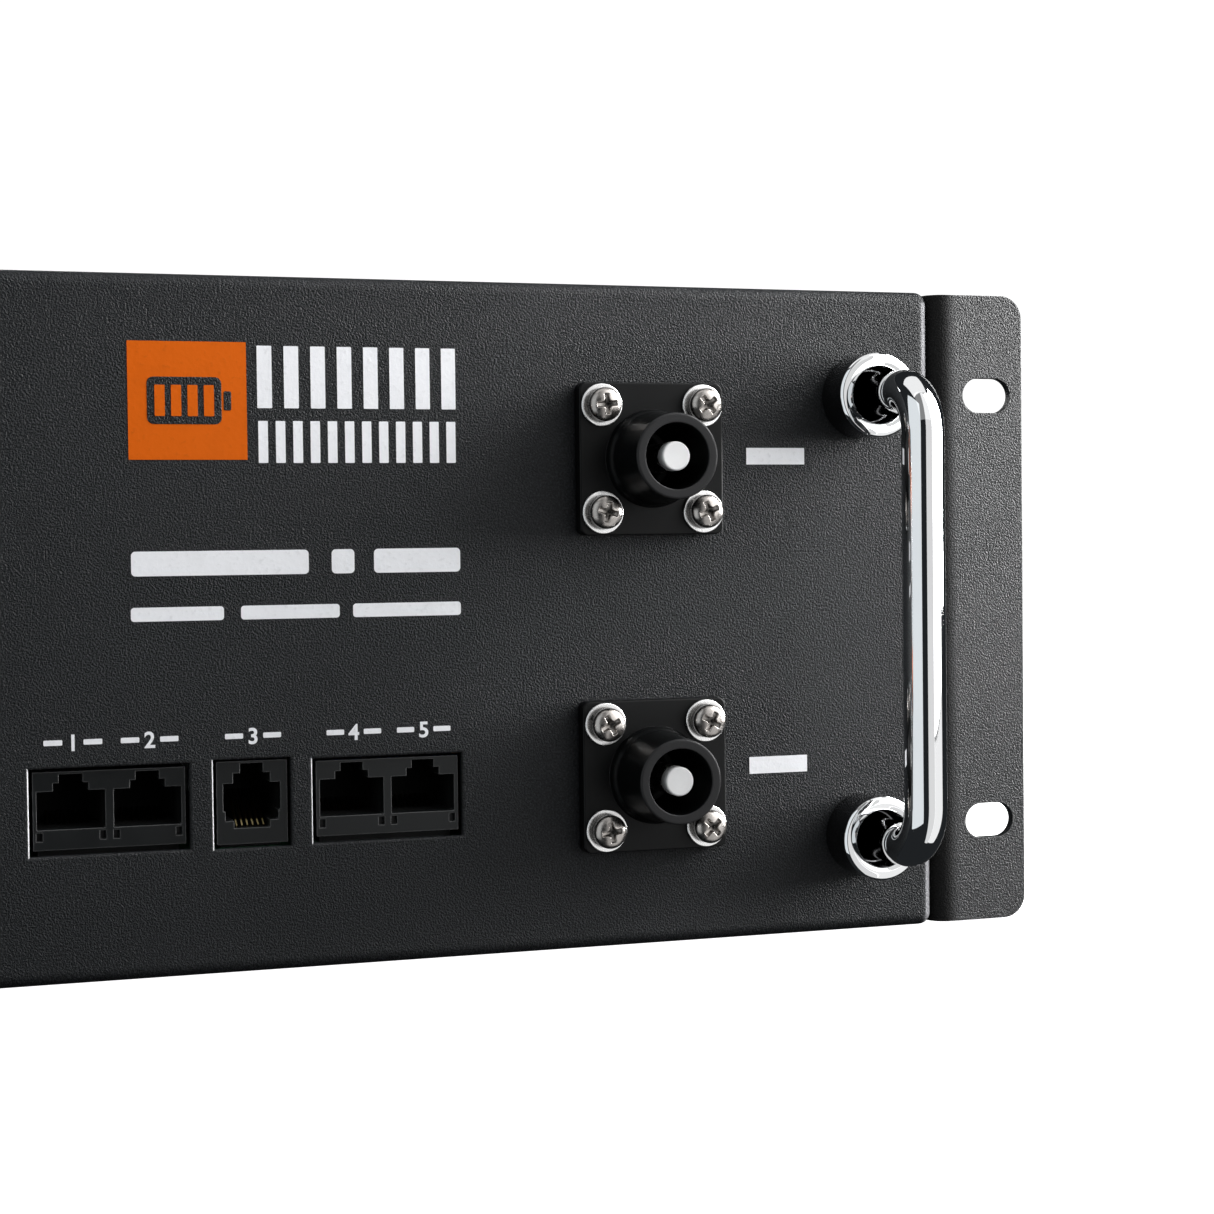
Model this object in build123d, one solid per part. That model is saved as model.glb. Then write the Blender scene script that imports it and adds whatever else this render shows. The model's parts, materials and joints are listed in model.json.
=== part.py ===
from build123d import *
import os

# A 3U, 19-inch rack battery. Units are millimetres.
# X runs to the right seen from the front, Z up, and every depth y is measured back from the front face.
# save() then shifts each piece, so that the origin is the centre of the underside of the case.

# --- case ---
CASE_W = 440.0
CASE_H = 131.5
CASE_D = 420.0
SHEET = 1.5
BEND_R = 2.5
PAN_DEPTH = 16.0
SEAM = 0.3
FRAME_Y = (3.0, 31.0)
LIP_W = 12.0
VENT_COUNT = 7

# --- rack ears ---
EAR_T = 2.0
EAR_EDGE_X = 241.3
EAR_Z = (0.5, 131.0)
EAR_LEG_Y = 60.0
EAR_BEND_R = 3.75
EAR_CORNER_R = 4.75
SLOT_X = 233.1
SLOT_L = 11.0
SLOT_W = 7.2
RACK_HOLE_SPACING = 88.9
EAR_SCREWS_Y = (9.0, 44.0)
EAR_SCREWS_Z = (24.0, 65.75, 105.0)

# --- bow handles ---
HANDLE_X = 204.2
HANDLE_Z = (20.0, 109.5)
ROD_R = 4.2
GRIP_STANDOFF = 28.7
ROD_BEND_R = 8.5
COLLAR_R = 8.5
COLLAR_L = 9.75
COLLAR_FACE_R = 7.6
COLLAR_CUP_R = 5.75
COLLAR_CUP_DEPTH = 5.0

# --- power sockets ---
SOCKET_X = 157.8
SOCKET_Z = (34.3, 96.9)
FLANGE = 30.0
FLANGE_T = 3.0
FLANGE_SCREW_PITCH = 21.0
RIM_Y = -17.75
RIM_R = 8.3
RIM_EDGE_R = 0.5
BARREL_R = 8.9
BARREL_FOOT_R = 9.6
SOCKET_BORE_R = 6.4
BORE_FLOOR_Y = 4.0
COLLAR_SEAT_Y = 8.0
SOCKET_BACK_Y = 28.0
SOCKET_HOLE_R = 10.0
PIN_R = 2.85
PIN_ROOT_R = 3.4
PIN_SEAT_R = 5.0
PIN_CAP_Y = (-17.0, -14.3)
STUD_R = 3.0
STUD_END_Y = 41.0

# --- M4 socket screws ---
FLAT_WASHER = (4.2, 0.8)
SPRING_WASHER = (3.3, 1.0)
HEAD_R = 3.3
HEAD_H = 2.6
M4_R = 1.95
M4_NUT_AF = 7.0
M4_NUT_T = 3.2

# --- data ports ---
JACK_FACE_Y = 1.07
JACK_BACK_Y = 17.0
SINGLE_JACK_Z = (24.4, 40.1)
PORT_DEPTH = 13.0
PORT_PITCH = 13.97
PAIR_FIRST_PORT_X = (44.85, 97.45)
SINGLE_PORT_X = 78.25
CONTACT_PITCH = 1.02
CUTOUT_EDGE_R = 0.5

# --- battery management board ---
BOARD_X = (-68.0, 135.0)
BOARD_Y = (2.6, 84.0)
BOARD_Z = (22.0, 23.6)

# --- breaker ---
BREAKER_X = -95.0
BREAKER_Z = 72.0
BREAKER_W = 36.0
NOSE_Y = -2.5
TOGGLE_Y = -0.5
TOGGLE_R = 7.9
TOGGLE_POCKET_R = 8.3
TOGGLE_REST_DEG = 35.0
POLES_X = (BREAKER_X - 9.0, BREAKER_X + 9.0)

# --- small controls ---
POWER_X, POWER_Z = -40.0, 90.0
POWER_TRAVEL = 2.5
RESET_X, RESET_Z = -38.0, 29.5
DIP_X, DIP_Z = -55.0, 29.25
DIP_COUNT = 4
DIP_PITCH = 2.54
DIP_TRAVEL = 2.4
LIGHT_X0, LIGHT_PITCH, LIGHT_COUNT, LIGHT_Z = -22.0, 9.0, 6, 30.0
GROUND_X, GROUND_Z = -185.0, 65.75

# --- busbars ---
LINK_BAR_Y = (28.0, 31.0)
FEED_Y = (31.0, 33.0)
RISER_Y = (86.0, 88.0)
NUT_M6_T = 5.0

# --- cells ---
CELL_T = 50.0
CELL_PITCH = 51.0
CELLS_PER_ROW = 8
CELL_Z = (2.5, 118.3)
CELL_ROWS_Y = ((94.0, 254.0), (256.0, 416.0))
TERMINAL_OFFSET = 61.0
TERMINAL_R = 9.0
TERMINAL_TOP_Z = 121.0
LINK_T = 2.0
END_PLATE_T = 8.0


def save(name, shape):
    """Write one named sub-part, moved so that the case's centre is at y = 0."""
    os.makedirs("parts", exist_ok=True)
    moved = Location((0, -CASE_D / 2, 0)) * shape
    export_step(moved, "parts/" + name + ".step")


def block(x, y, z):
    """A box between the low and the high value on each axis."""
    size = [high - low for low, high in (x, y, z)]
    centre = [(low + high) / 2 for low, high in (x, y, z)]
    return Pos(*centre) * Box(*size)


def around(centre, width):
    """The low and high value of a span of this width."""
    return (centre - width / 2, centre + width / 2)


def rod_y(x, z, radius, y):
    """A cylinder along Y."""
    return Pos(x, (y[0] + y[1]) / 2, z) * Rot(90, 0, 0) * Cylinder(radius, y[1] - y[0])


def rod_z(x, y, radius, z):
    """A cylinder along Z."""
    return Pos(x, y, (z[0] + z[1]) / 2) * Cylinder(radius, z[1] - z[0])


def hex_y(x, z, across_flats, y):
    """A hexagonal prism along Y."""
    outline = RegularPolygon(across_flats / 2, 6, major_radius=False)
    return Pos(x, y[1], z) * Rot(90, 0, 0) * extrude(outline, amount=y[1] - y[0])


def group(solids):
    """Several separate solids as one sub-part."""
    return Compound(list(solids))


def mirrored(shape):
    """The same piece on the other side of the case."""
    return mirror(shape, about=Plane.YZ)


def front_points(spacing, centre_x, centre_z):
    """The four corners of a square pattern on the front."""
    half = spacing / 2
    return [(centre_x + sx * half, centre_z + sz * half) for sx in (-1, 1) for sz in (-1, 1)]


SOCKETS = [(side * SOCKET_X, z) for side in (-1, 1) for z in SOCKET_Z]
SOCKET_SCREWS = [point for x, z in SOCKETS for point in front_points(FLANGE_SCREW_PITCH, x, z)]
HANDLE_FEET = [(side * HANDLE_X, z) for side in (-1, 1) for z in HANDLE_Z]
DIP_XS = [DIP_X + (i - (DIP_COUNT - 1) / 2) * DIP_PITCH for i in range(DIP_COUNT)]
LIGHT_XS = [LIGHT_X0 + i * LIGHT_PITCH for i in range(LIGHT_COUNT)]
INNER_X = CASE_W / 2 - SHEET
CELL_XS = [(i - (CELLS_PER_ROW - 1) / 2) * CELL_PITCH for i in range(CELLS_PER_ROW)]


# --- countersunk case screws ---
LID_SCREWS = [(x, 24.0) for x in (-180.0, -60.0, 60.0, 180.0)]
LID_SCREWS += [(side * 212.5, y) for side in (-1, 1) for y in (60.0, 160.0, 260.0, 360.0)]
LID_SCREWS += [(x, 412.5) for x in (-120.0, 0.0, 120.0)]
PAN_SCREWS = [(x, 9.0) for x in (-180.0, -60.0, 60.0, 180.0)]
LID_SCREW_Z = (CASE_H - 7.0, CASE_H)
M3_HEAD_R = 2.75
M3_R = 1.45


def lid_screw_hole(x, y):
    """Countersunk hole through the lid or the panel's top flange, with its clearance hole."""
    cone = Pos(x, y, CASE_H - 0.65) * Cone(1.5, M3_HEAD_R + 0.05, 1.3)
    return cone + rod_z(x, y, 1.6, (CASE_H - 4, CASE_H))


def lid_screw(x, y, index):
    """M3 countersunk screw with a cross recess, flush with the top of the case."""
    cone = Pos(x, y, CASE_H - 0.65) * Cone(M3_R, M3_HEAD_R, 1.3)
    screw = cone + rod_z(x, y, M3_R, LID_SCREW_Z)
    arm = Box(3.0, 0.6, 1.0) + Box(0.6, 3.0, 1.0)
    return screw - Pos(x, y, CASE_H - 0.5) * Rot(0, 0, 23 * index) * arm


# --- sheet metal ---


def pan_blank(width, height, depth, corner_r):
    """A closed block with its front edges and its four long corners rounded."""
    blank = block(around(0, width), (0, depth), (0, height))
    edges = blank.faces().sort_by(Axis.Y)[0].edges() + blank.edges().filter_by(Axis.Y)
    return fillet(edges, corner_r)


def jack_cutouts():
    """Openings for the two double ports and the single one between them."""
    low, high = PAIR_FIRST_PORT_X
    yield block((low - 7.65, low + PORT_PITCH + 7.68), (-1, 3), (24.0, 40.15))
    yield block((SINGLE_PORT_X - 7.35, SINGLE_PORT_X + 7.3), (-1, 3), (23.7, 40.5))
    yield block((high - 7.75, high + PORT_PITCH + 7.6), (-1, 3), (23.9, 40.05))


def front_panel():
    """Folded front pan with every opening for the sockets, ports and controls."""
    pan = pan_blank(CASE_W, CASE_H, PAN_DEPTH, BEND_R)
    inner = pan_blank(CASE_W - 2 * SHEET, CASE_H - 2 * SHEET, PAN_DEPTH, BEND_R - SHEET)
    pan -= Pos(0, SHEET, SHEET) * inner
    for cutout in jack_cutouts():
        pan -= cutout
    front = pan.faces().sort_by(Axis.Y)[0]
    pan = fillet([edge for wire in front.inner_wires() for edge in wire.edges()], CUTOUT_EDGE_R)
    through = (-1, SHEET + 1)
    for x, z in SOCKETS:
        pan -= rod_y(x, z, SOCKET_HOLE_R, through)
    for x, z in SOCKET_SCREWS:
        pan -= rod_y(x, z, 2.2, through)
    for x, z in HANDLE_FEET:
        pan -= rod_y(x, z, 2.7, through)
    pan -= block(around(BREAKER_X, BREAKER_W + 0.6), through, around(BREAKER_Z, 45.6))
    pan -= rod_y(POWER_X, POWER_Z, 8.1, through)
    pan -= rod_y(RESET_X, RESET_Z, 1.8, through)
    pan -= block(around(DIP_X, 12.6), through, around(DIP_Z, 10.3))
    for x in LIGHT_XS:
        pan -= rod_y(x, LIGHT_Z, 1.55, through)
    pan -= rod_y(GROUND_X, GROUND_Z, 3.05, through)
    for x, y in PAN_SCREWS:
        pan -= lid_screw_hole(x, y)
    for z in EAR_SCREWS_Z:
        pan -= Pos(0, EAR_SCREWS_Y[0], z) * Rot(0, 90, 0) * Cylinder(2.1, CASE_W + 2)
    return pan


def front_frame():
    """Welded ring inside the case, to which the pan, the ears and the lid are screwed."""
    ring = block(around(0, 2 * INNER_X), FRAME_Y, (SHEET, CASE_H - SHEET))
    ring = fillet(ring.edges().filter_by(Axis.Y), 1.3)
    inside = block(around(0, 2 * (INNER_X - SHEET)), (0, 40), (2 * SHEET, CASE_H - 2 * SHEET))
    ring -= inside
    for x, y in PAN_SCREWS + LID_SCREWS[:4]:
        ring -= rod_z(x, y, 1.5, (CASE_H - 4, CASE_H))
    for z in EAR_SCREWS_Z:
        ring -= Pos(0, EAR_SCREWS_Y[0], z) * Rot(0, 90, 0) * Cylinder(2.0, CASE_W)
    return ring


def vent_slots():
    """Upright slots in both side walls, beside the management board."""
    for i in range(VENT_COUNT):
        slot = block(around(0, CASE_W + 4), around(68 + 8 * i, 3), (55, 95))
        yield fillet(slot.edges().filter_by(Axis.X), 1.45)


def base_tray():
    """Floor, side walls and rear wall in one bent sheet, with lips for the lid."""
    front = PAN_DEPTH + SEAM
    tray = block(around(0, CASE_W), (front, CASE_D), (0, CASE_H - SHEET))
    back = tray.faces().sort_by(Axis.Y)[-1]
    rounded = back.edges().filter_by(Axis.Z) + back.edges().filter_by(Axis.X).sort_by(Axis.Z)[:1]
    rounded += tray.edges().filter_by(Axis.Y).sort_by(Axis.Z)[:2]
    tray = fillet(rounded, BEND_R)
    hollow = block(around(0, 2 * INNER_X), (front - 5, CASE_D - SHEET), (SHEET, CASE_H - 2 * SHEET))
    tray -= fillet(hollow.edges().sort_by(Axis.Z)[:4], BEND_R - SHEET)
    top = (CASE_H - 2 * SHEET - 1, CASE_H)
    lip_x = INNER_X - LIP_W
    tray -= block(around(0, 2 * INNER_X), (front - 5, FRAME_Y[1] + 0.5), top)
    tray -= block(around(0, 2 * lip_x), (front - 5, CASE_D - SHEET - LIP_W), top)
    for x, y in LID_SCREWS[4:]:
        tray -= rod_z(x, y, 1.5, (CASE_H - 4, CASE_H))
    for z in EAR_SCREWS_Z:
        tray -= Pos(0, EAR_SCREWS_Y[1], z) * Rot(0, 90, 0) * Cylinder(2.0, CASE_W + 2)
    for slot in vent_slots():
        tray -= slot
    return tray


def top_cover():
    """Flat lid with countersunk holes."""
    lid = block(around(0, CASE_W), (PAN_DEPTH + SEAM, CASE_D), (CASE_H - SHEET, CASE_H))
    lid = fillet(lid.edges().filter_by(Axis.Z).sort_by(Axis.Y)[2:], BEND_R)
    for x, y in LID_SCREWS:
        lid -= lid_screw_hole(x, y)
    return lid


def ear_screw_place(index):
    """Depth and height of one of the six screws of an ear."""
    return EAR_SCREWS_Y[index % 2], EAR_SCREWS_Z[index // 2]


def rack_ear():
    """Right-hand ear: an angle with its front leg flush with the front panel."""
    x0 = CASE_W / 2
    ear = block((x0, EAR_EDGE_X), (0, EAR_T), EAR_Z) + block((x0, x0 + EAR_T), (0, EAR_LEG_Y), EAR_Z)
    upright = ear.edges().filter_by(Axis.Z)
    ear = fillet(upright.filter_by_position(Axis.X, x0, x0).sort_by(Axis.Y)[:1], EAR_BEND_R)
    root = ear.edges().filter_by(Axis.Z).filter_by_position(Axis.X, x0 + EAR_T, x0 + EAR_T)
    ear = fillet(root.sort_by(Axis.Y)[:1], EAR_BEND_R - EAR_T)
    tips = ear.edges().filter_by(Axis.Y).filter_by_position(Axis.X, EAR_EDGE_X, EAR_EDGE_X)
    ear = fillet(tips, EAR_CORNER_R)
    heels = ear.edges().filter_by(Axis.X).filter_by_position(Axis.Y, EAR_LEG_Y, EAR_LEG_Y)
    ear = fillet(heels, EAR_CORNER_R)
    for side in (-1, 1):
        z = CASE_H / 2 + side * RACK_HOLE_SPACING / 2
        slot = Pos(SLOT_X, -1, z) * Rot(-90, 0, 0) * extrude(SlotOverall(SLOT_L, SLOT_W), amount=6)
        ear -= slot
    for index in range(6):
        y, z = ear_screw_place(index)
        ear -= Pos(x0 + 1, y, z) * Rot(0, 90, 0) * Cone(2.05, 3.8, 2.0)
        ear -= Pos(x0 + 1, y, z) * Rot(0, 90, 0) * Cylinder(2.1, 4)
    return ear


def ear_screw(y, z, index):
    """M4 countersunk screw through the ear and into the case."""
    x0 = CASE_W / 2
    screw = Pos(x0 + 1.05, y, z) * Rot(0, 90, 0) * Cone(1.95, 3.7, 1.9)
    screw += Pos(x0 - 3.5, y, z) * Rot(0, 90, 0) * Cylinder(1.95, 9.0)
    arm = Box(1.2, 4.0, 0.7) + Box(1.2, 0.7, 4.0)
    return screw - Pos(x0 + 1.9, y, z) * Rot(31 * index, 0, 0) * arm


# --- handles ---


def handle_rod():
    """Right-hand bow handle: a round bar with two tight bends."""
    z0, z1 = HANDLE_Z
    start = (HANDLE_X, 0, z0)
    corner_a = (HANDLE_X, -GRIP_STANDOFF, z0)
    corner_b = (HANDLE_X, -GRIP_STANDOFF, z1)
    path = FilletPolyline(start, corner_a, corner_b, (HANDLE_X, 0, z1), radius=ROD_BEND_R)
    section = Plane(origin=start, z_dir=(0, -1, 0)) * Circle(ROD_R)
    rod = sweep(section, path=path)
    for z in HANDLE_Z:
        rod -= rod_y(HANDLE_X, z, 2.5, (-14, 1))
    return rod


def handle_collar(x, z):
    """Round collar with a chamfered edge and a cup around the rod."""
    profile = Polyline(
        (ROD_R + 0.05, 0),
        (COLLAR_R, 0),
        (COLLAR_R, COLLAR_L - 0.9),
        (COLLAR_FACE_R, COLLAR_L),
        (COLLAR_CUP_R, COLLAR_L),
        (COLLAR_CUP_R, COLLAR_L - COLLAR_CUP_DEPTH),
        (ROD_R + 0.05, COLLAR_L - COLLAR_CUP_DEPTH),
        close=True,
    )
    ring = revolve(make_face(Plane.XZ * profile), axis=Axis.Z)
    return Pos(x, 0, z) * Rot(90, 0, 0) * ring


def handle_screw(x, z):
    """M5 screw from inside the panel into the end of the rod."""
    head = rod_y(x, z, 4.7, (SHEET, SHEET + 3.2))
    return head + rod_y(x, z, 2.45, (-12, SHEET + 1)) - rod_y(x, z, 1.6, (SHEET + 1.4, 8))


# --- power sockets ---


def socket_housing(x, z):
    """Square flange with a round shroud in front and a sleeve behind the panel."""
    flange = block(around(0, FLANGE), (-FLANGE_T, 0), around(0, FLANGE))
    flange = fillet(flange.edges().filter_by(Axis.Y), 1.6)
    flange = chamfer(flange.faces().sort_by(Axis.Y)[0].edges(), 0.35)
    with BuildLine() as outline:
        Line((0, SOCKET_BACK_Y), (BARREL_FOOT_R, SOCKET_BACK_Y))
        Line((BARREL_FOOT_R, SOCKET_BACK_Y), (BARREL_FOOT_R, -FLANGE_T - 1.2))
        RadiusArc((BARREL_FOOT_R, -FLANGE_T - 1.2), (BARREL_R, -FLANGE_T - 2.6), 1.8)
        Line((BARREL_R, -FLANGE_T - 2.6), (RIM_R, RIM_Y + RIM_EDGE_R))
        RadiusArc((RIM_R, RIM_Y + RIM_EDGE_R), (RIM_R - RIM_EDGE_R, RIM_Y), RIM_EDGE_R)
        Line((RIM_R - RIM_EDGE_R, RIM_Y), (0, RIM_Y))
        Line((0, RIM_Y), (0, SOCKET_BACK_Y))
    barrel = revolve(make_face(outline.line), axis=Axis.Y)
    housing = flange + barrel
    housing -= rod_y(0, 0, SOCKET_BORE_R, (RIM_Y - 1, BORE_FLOOR_Y))
    lead_in = Pos(0, RIM_Y + 0.1, 0) * Rot(90, 0, 0) * Cone(SOCKET_BORE_R, SOCKET_BORE_R + 0.2, 0.2)
    housing -= lead_in
    housing -= rod_y(0, 0, PIN_ROOT_R + 0.05, (BORE_FLOOR_Y - 1, COLLAR_SEAT_Y))
    housing -= rod_y(0, 0, PIN_SEAT_R + 0.05, (COLLAR_SEAT_Y, SOCKET_BACK_Y + 1))
    for hole_x, hole_z in front_points(FLANGE_SCREW_PITCH, 0, 0):
        housing -= rod_y(hole_x, hole_z, 2.15, (-5, 2))
    return Pos(x, 0, z) * housing


def contact_pin(x, z):
    """Plated contact pin with a root, a seat collar and an M6 stud at its back."""
    pin = rod_y(x, z, 1.8, (PIN_CAP_Y[0] + 0.9, PIN_CAP_Y[1]))
    pin += rod_y(x, z, PIN_R, (PIN_CAP_Y[1], BORE_FLOOR_Y))
    pin += rod_y(x, z, PIN_ROOT_R, (BORE_FLOOR_Y, COLLAR_SEAT_Y))
    pin += rod_y(x, z, PIN_SEAT_R, (COLLAR_SEAT_Y, SOCKET_BACK_Y))
    return pin + rod_y(x, z, STUD_R, (SOCKET_BACK_Y, STUD_END_Y))


def pin_cap(x, z):
    """Touch-safe cap over the tip of a contact pin."""
    cap = rod_y(x, z, PIN_R, PIN_CAP_Y)
    cap = fillet(cap.edges().sort_by(Axis.Y)[:1], 0.7)
    return cap - rod_y(x, z, 1.85, (PIN_CAP_Y[0] + 0.85, 0))


def cross_recess():
    """Tapered cross recess of a pan head, its mouth at z = 0."""
    cross = Rectangle(3.9, 0.95) + Rectangle(0.95, 3.9)
    slot = Pos(0, 0, 0.3) * extrude(cross, amount=-2.1, taper=12)
    return slot + Pos(0, 0, -0.7) * Cone(0.4, 1.35, 1.9)


def pan_head_screw(length):
    """Pan-head screw, its head standing on z = 0 and its shank below."""
    profile = Polyline((0, 0), (HEAD_R, 0), (HEAD_R, 0.9))
    crown = ThreePointArc((HEAD_R, 0.9), (HEAD_R * 0.72, HEAD_H - 0.45), (0, HEAD_H))
    outline = Wire([*profile.edges(), *crown.edges(), *Line((0, HEAD_H), (0, 0)).edges()])
    head = revolve(make_face(Plane.XZ * outline), axis=Axis.Z)
    screw = head + Pos(0, 0, -length / 2) * Cylinder(M4_R, length)
    return screw - Pos(0, 0, HEAD_H) * cross_recess()


def ring(outer, inner, thickness):
    """A flat ring standing on z = 0."""
    return Pos(0, 0, thickness / 2) * (Cylinder(outer, thickness) - Cylinder(inner, thickness))


def split_ring():
    """A spring lock washer with its slanting gap."""
    washer = ring(SPRING_WASHER[0], 2.1, SPRING_WASHER[1])
    return washer - Pos(3, 0, 0.5) * Rot(35, 0, 0) * Box(4, 0.7, 3)


def stack_y(level):
    """Front of the flange, of the flat washer or of the spring washer."""
    steps = (0, FLAT_WASHER[1], FLAT_WASHER[1] + SPRING_WASHER[1])
    return -FLANGE_T - steps[level]


def at_screws(shape, level):
    """One copy of a fastener piece at every socket screw, each turned differently."""
    for index, (x, z) in enumerate(SOCKET_SCREWS):
        turn = (137 * index) % 360
        yield Pos(x, stack_y(level), z) * Rot(90, 0, 0) * Rot(0, 0, turn) * shape


def nut(x, z, across_flats, bore, y):
    """Hexagon nut with rounded corners on its front and back."""
    body = hex_y(x, z, across_flats, y) & rod_y(x, z, across_flats * 0.56, y)
    return body - rod_y(x, z, bore, (y[0] - 1, y[1] + 1))


# --- data ports ---


def port_hollow(x, steps, depth):
    """A port's stepped opening: (width, low z, high z) for each step."""
    hollow = None
    for width, low, high in steps:
        step = block(around(x, width), (JACK_FACE_Y - 1, JACK_FACE_Y + depth), (low, high))
        hollow = step if hollow is None else hollow + step
    return hollow


EIGHT_WAY_STEPS = ((12.4, 28.8, 35.9), (6.4, 35.5, 37.4), (4.3, 37.0, 39.0))
SIX_WAY_STEPS = (
    (10.8, 30.6, 35.9),
    (10.0, 28.8, 31.0),
    (6.8, 27.4, 29.0),
    (7.0, 35.5, 37.8),
    (4.3, 37.5, 39.65),
)


def jack_pair(first_x):
    """Body of a double eight-way port with four small light windows."""
    x0, x1 = first_x - 6.9, first_x + PORT_PITCH + 6.98
    body = block((x0, x1), (JACK_FACE_Y, JACK_BACK_Y), (25.05, 39.5))
    body += block((x0 + 1, x1 - 1), (4, JACK_BACK_Y), (BOARD_Z[1], 25.05))
    for port in range(2):
        x = first_x + port * PORT_PITCH
        body -= port_hollow(x, EIGHT_WAY_STEPS, PORT_DEPTH)
        for side in (-1, 1):
            body -= block(around(x + side * 5.75, 1.15), (0, JACK_FACE_Y + 1.2), (26.7, 28.3))
    return body


def single_jack():
    """Body of the six-way port."""
    x0, x1 = SINGLE_PORT_X - 6.65, SINGLE_PORT_X + 6.75
    body = block((x0, x1), (JACK_FACE_Y, JACK_BACK_Y), SINGLE_JACK_Z)
    body += block((x0 + 1, x1 - 1), (4, JACK_BACK_Y), (BOARD_Z[1], SINGLE_JACK_Z[0]))
    return body - port_hollow(SINGLE_PORT_X, SIX_WAY_STEPS, PORT_DEPTH)


def contact_wire(x, front, high_z):
    """One spring contact, rising from its front point on the port's floor to its back wall."""
    front_y, low_z = front
    back_y = JACK_FACE_Y + PORT_DEPTH
    side = Polyline(
        (front_y, low_z),
        (front_y + 1.0, low_z),
        (back_y, high_z - 0.6),
        (back_y, high_z),
        close=True,
    )
    face = make_face(Plane.YZ * side)
    return Pos(x - 0.225, 0, 0) * extrude(face, amount=0.45)


def jack_contacts():
    """All the gold spring contacts: eight in each wide port and six in the narrow one."""
    for first_x in PAIR_FIRST_PORT_X:
        for port in range(2):
            for i in range(8):
                x = first_x + port * PORT_PITCH + (i - 3.5) * CONTACT_PITCH
                yield contact_wire(x, (10.0, 28.8), 31.0)
    for i in range(6):
        yield contact_wire(SINGLE_PORT_X + (i - 2.5) * CONTACT_PITCH, (3.0, 27.4), 33.6)


# --- management board ---
STANDOFFS = [(x, y) for x in (-60.0, 22.5, 110.0) for y in (34.0, 68.0)]
SINK_X = (-40.0, 100.0)
SINK_Y = (52.0, 84.0)
SINK_BASE_Z = (29.5, 33.0)
SINK_TOP_Z = 50.0
FIN_COUNT = 9
FIN_T = 1.6


def bms_board():
    """Management circuit board, lying flat on its standoffs."""
    board = block(BOARD_X, BOARD_Y, BOARD_Z)
    board = fillet(board.edges().filter_by(Axis.Z), 2.0)
    for x, y in STANDOFFS:
        board -= rod_z(x, y, 1.6, (20, 30))
    return board


def board_standoff(x, y):
    """Hexagonal standoff with a screw stud through the board."""
    post = Pos(x, y, SHEET) * extrude(RegularPolygon(3.0, 6, major_radius=False), amount=BOARD_Z[0] - SHEET)
    return post + rod_z(x, y, 1.5, (BOARD_Z[0], BOARD_Z[1] + 1.2))


def bms_components():
    """Power transistors, chips, capacitors, lamps and the cell-sense connector."""
    top = BOARD_Z[1]
    for row_y in (59.0, 77.0):
        for i in range(9):
            x = SINK_X[0] + 10 + i * 15
            yield block(around(x, 10.2), around(row_y, 10), (top, SINK_BASE_Z[0]))
    for i in range(3):
        yield block(around(-8 + i * 22, 10), around(34, 10), (top, top + 1.4))
    for i in range(5):
        yield rod_z(6 + i * 13, 44, 4.0, (top, top + 11.5))
    for x in LIGHT_XS:
        yield block(around(x, 3.2), (12.4, 14.4), (top, top + 8.4))
    yield block((-66, -46), (74, 82), (top, 34))


def heat_sink():
    """Finned heat sink on top of the power transistors."""
    sink = block(SINK_X, SINK_Y, SINK_BASE_Z)
    pitch = (SINK_Y[1] - SINK_Y[0] - FIN_T) / (FIN_COUNT - 1)
    for i in range(FIN_COUNT):
        y = SINK_Y[0] + i * pitch
        sink += block(SINK_X, (y, y + FIN_T), (SINK_BASE_Z[1] - 0.1, SINK_TOP_Z))
    return sink


# --- breaker ---


def breaker_body():
    """Two-pole breaker with a stepped front, a toggle pocket and busbar clamps."""
    x = around(BREAKER_X, BREAKER_W)
    body = block(x, (14, 62), (BREAKER_Z - 41, BREAKER_Z + 41))
    body += block(x, (NOSE_Y, 15), around(BREAKER_Z, 45))
    body = chamfer(body.faces().sort_by(Axis.Y)[0].edges(), 0.5)
    axle = Pos(BREAKER_X, TOGGLE_Y, BREAKER_Z) * Rot(0, 90, 0)
    body -= axle * Cylinder(TOGGLE_POCKET_R, 31.0)
    body -= axle * Cylinder(2.05, 34.6)
    for pole_x in POLES_X:
        body -= block(around(pole_x, 8), (29, 35), (BREAKER_Z + 30, BREAKER_Z + 42))
        body -= block(around(pole_x, 8), (29, 35), (BREAKER_Z - 42, BREAKER_Z - 30))
        for side in (-1, 1):
            body -= rod_y(pole_x, BREAKER_Z + side * 33, 2.6, (13, 20))
    groove = block(around(BREAKER_X, 0.5), (NOSE_Y - 1, NOSE_Y + 0.5), (BREAKER_Z - 25, BREAKER_Z + 25))
    return body - groove


def breaker_toggle():
    """Drum and lever of the breaker on two short trunnions, in its lower position."""
    drum = Rot(0, 90, 0) * (Cylinder(TOGGLE_R, 30.2) + Cylinder(2.0, 34.2))
    lever = block((-13.5, 13.5), (-18.5, 0), (-2.3, 2.3))
    lever = fillet(lever.faces().sort_by(Axis.Y)[0].edges().filter_by(Axis.X), 1.6)
    toggle = drum + lever
    return Pos(BREAKER_X, TOGGLE_Y, BREAKER_Z) * Rot(TOGGLE_REST_DEG, 0, 0) * toggle


def breaker_bracket():
    """Bent strap that carries the breaker behind the panel."""
    z = around(BREAKER_Z, 30)
    half = BREAKER_W / 2 + 1
    strap = block(around(BREAKER_X, 2 * half + 3), (62, 63.5), z)
    for side in (-1, 1):
        arm = sorted((BREAKER_X + side * half, BREAKER_X + side * (half + 1.5)))
        foot = sorted((BREAKER_X + side * half, BREAKER_X + side * (half + 13)))
        strap += block(arm, (SHEET, 63.5), z)
        strap += block(foot, (SHEET, 3.0), z)
    return strap


# --- small controls ---


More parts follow.
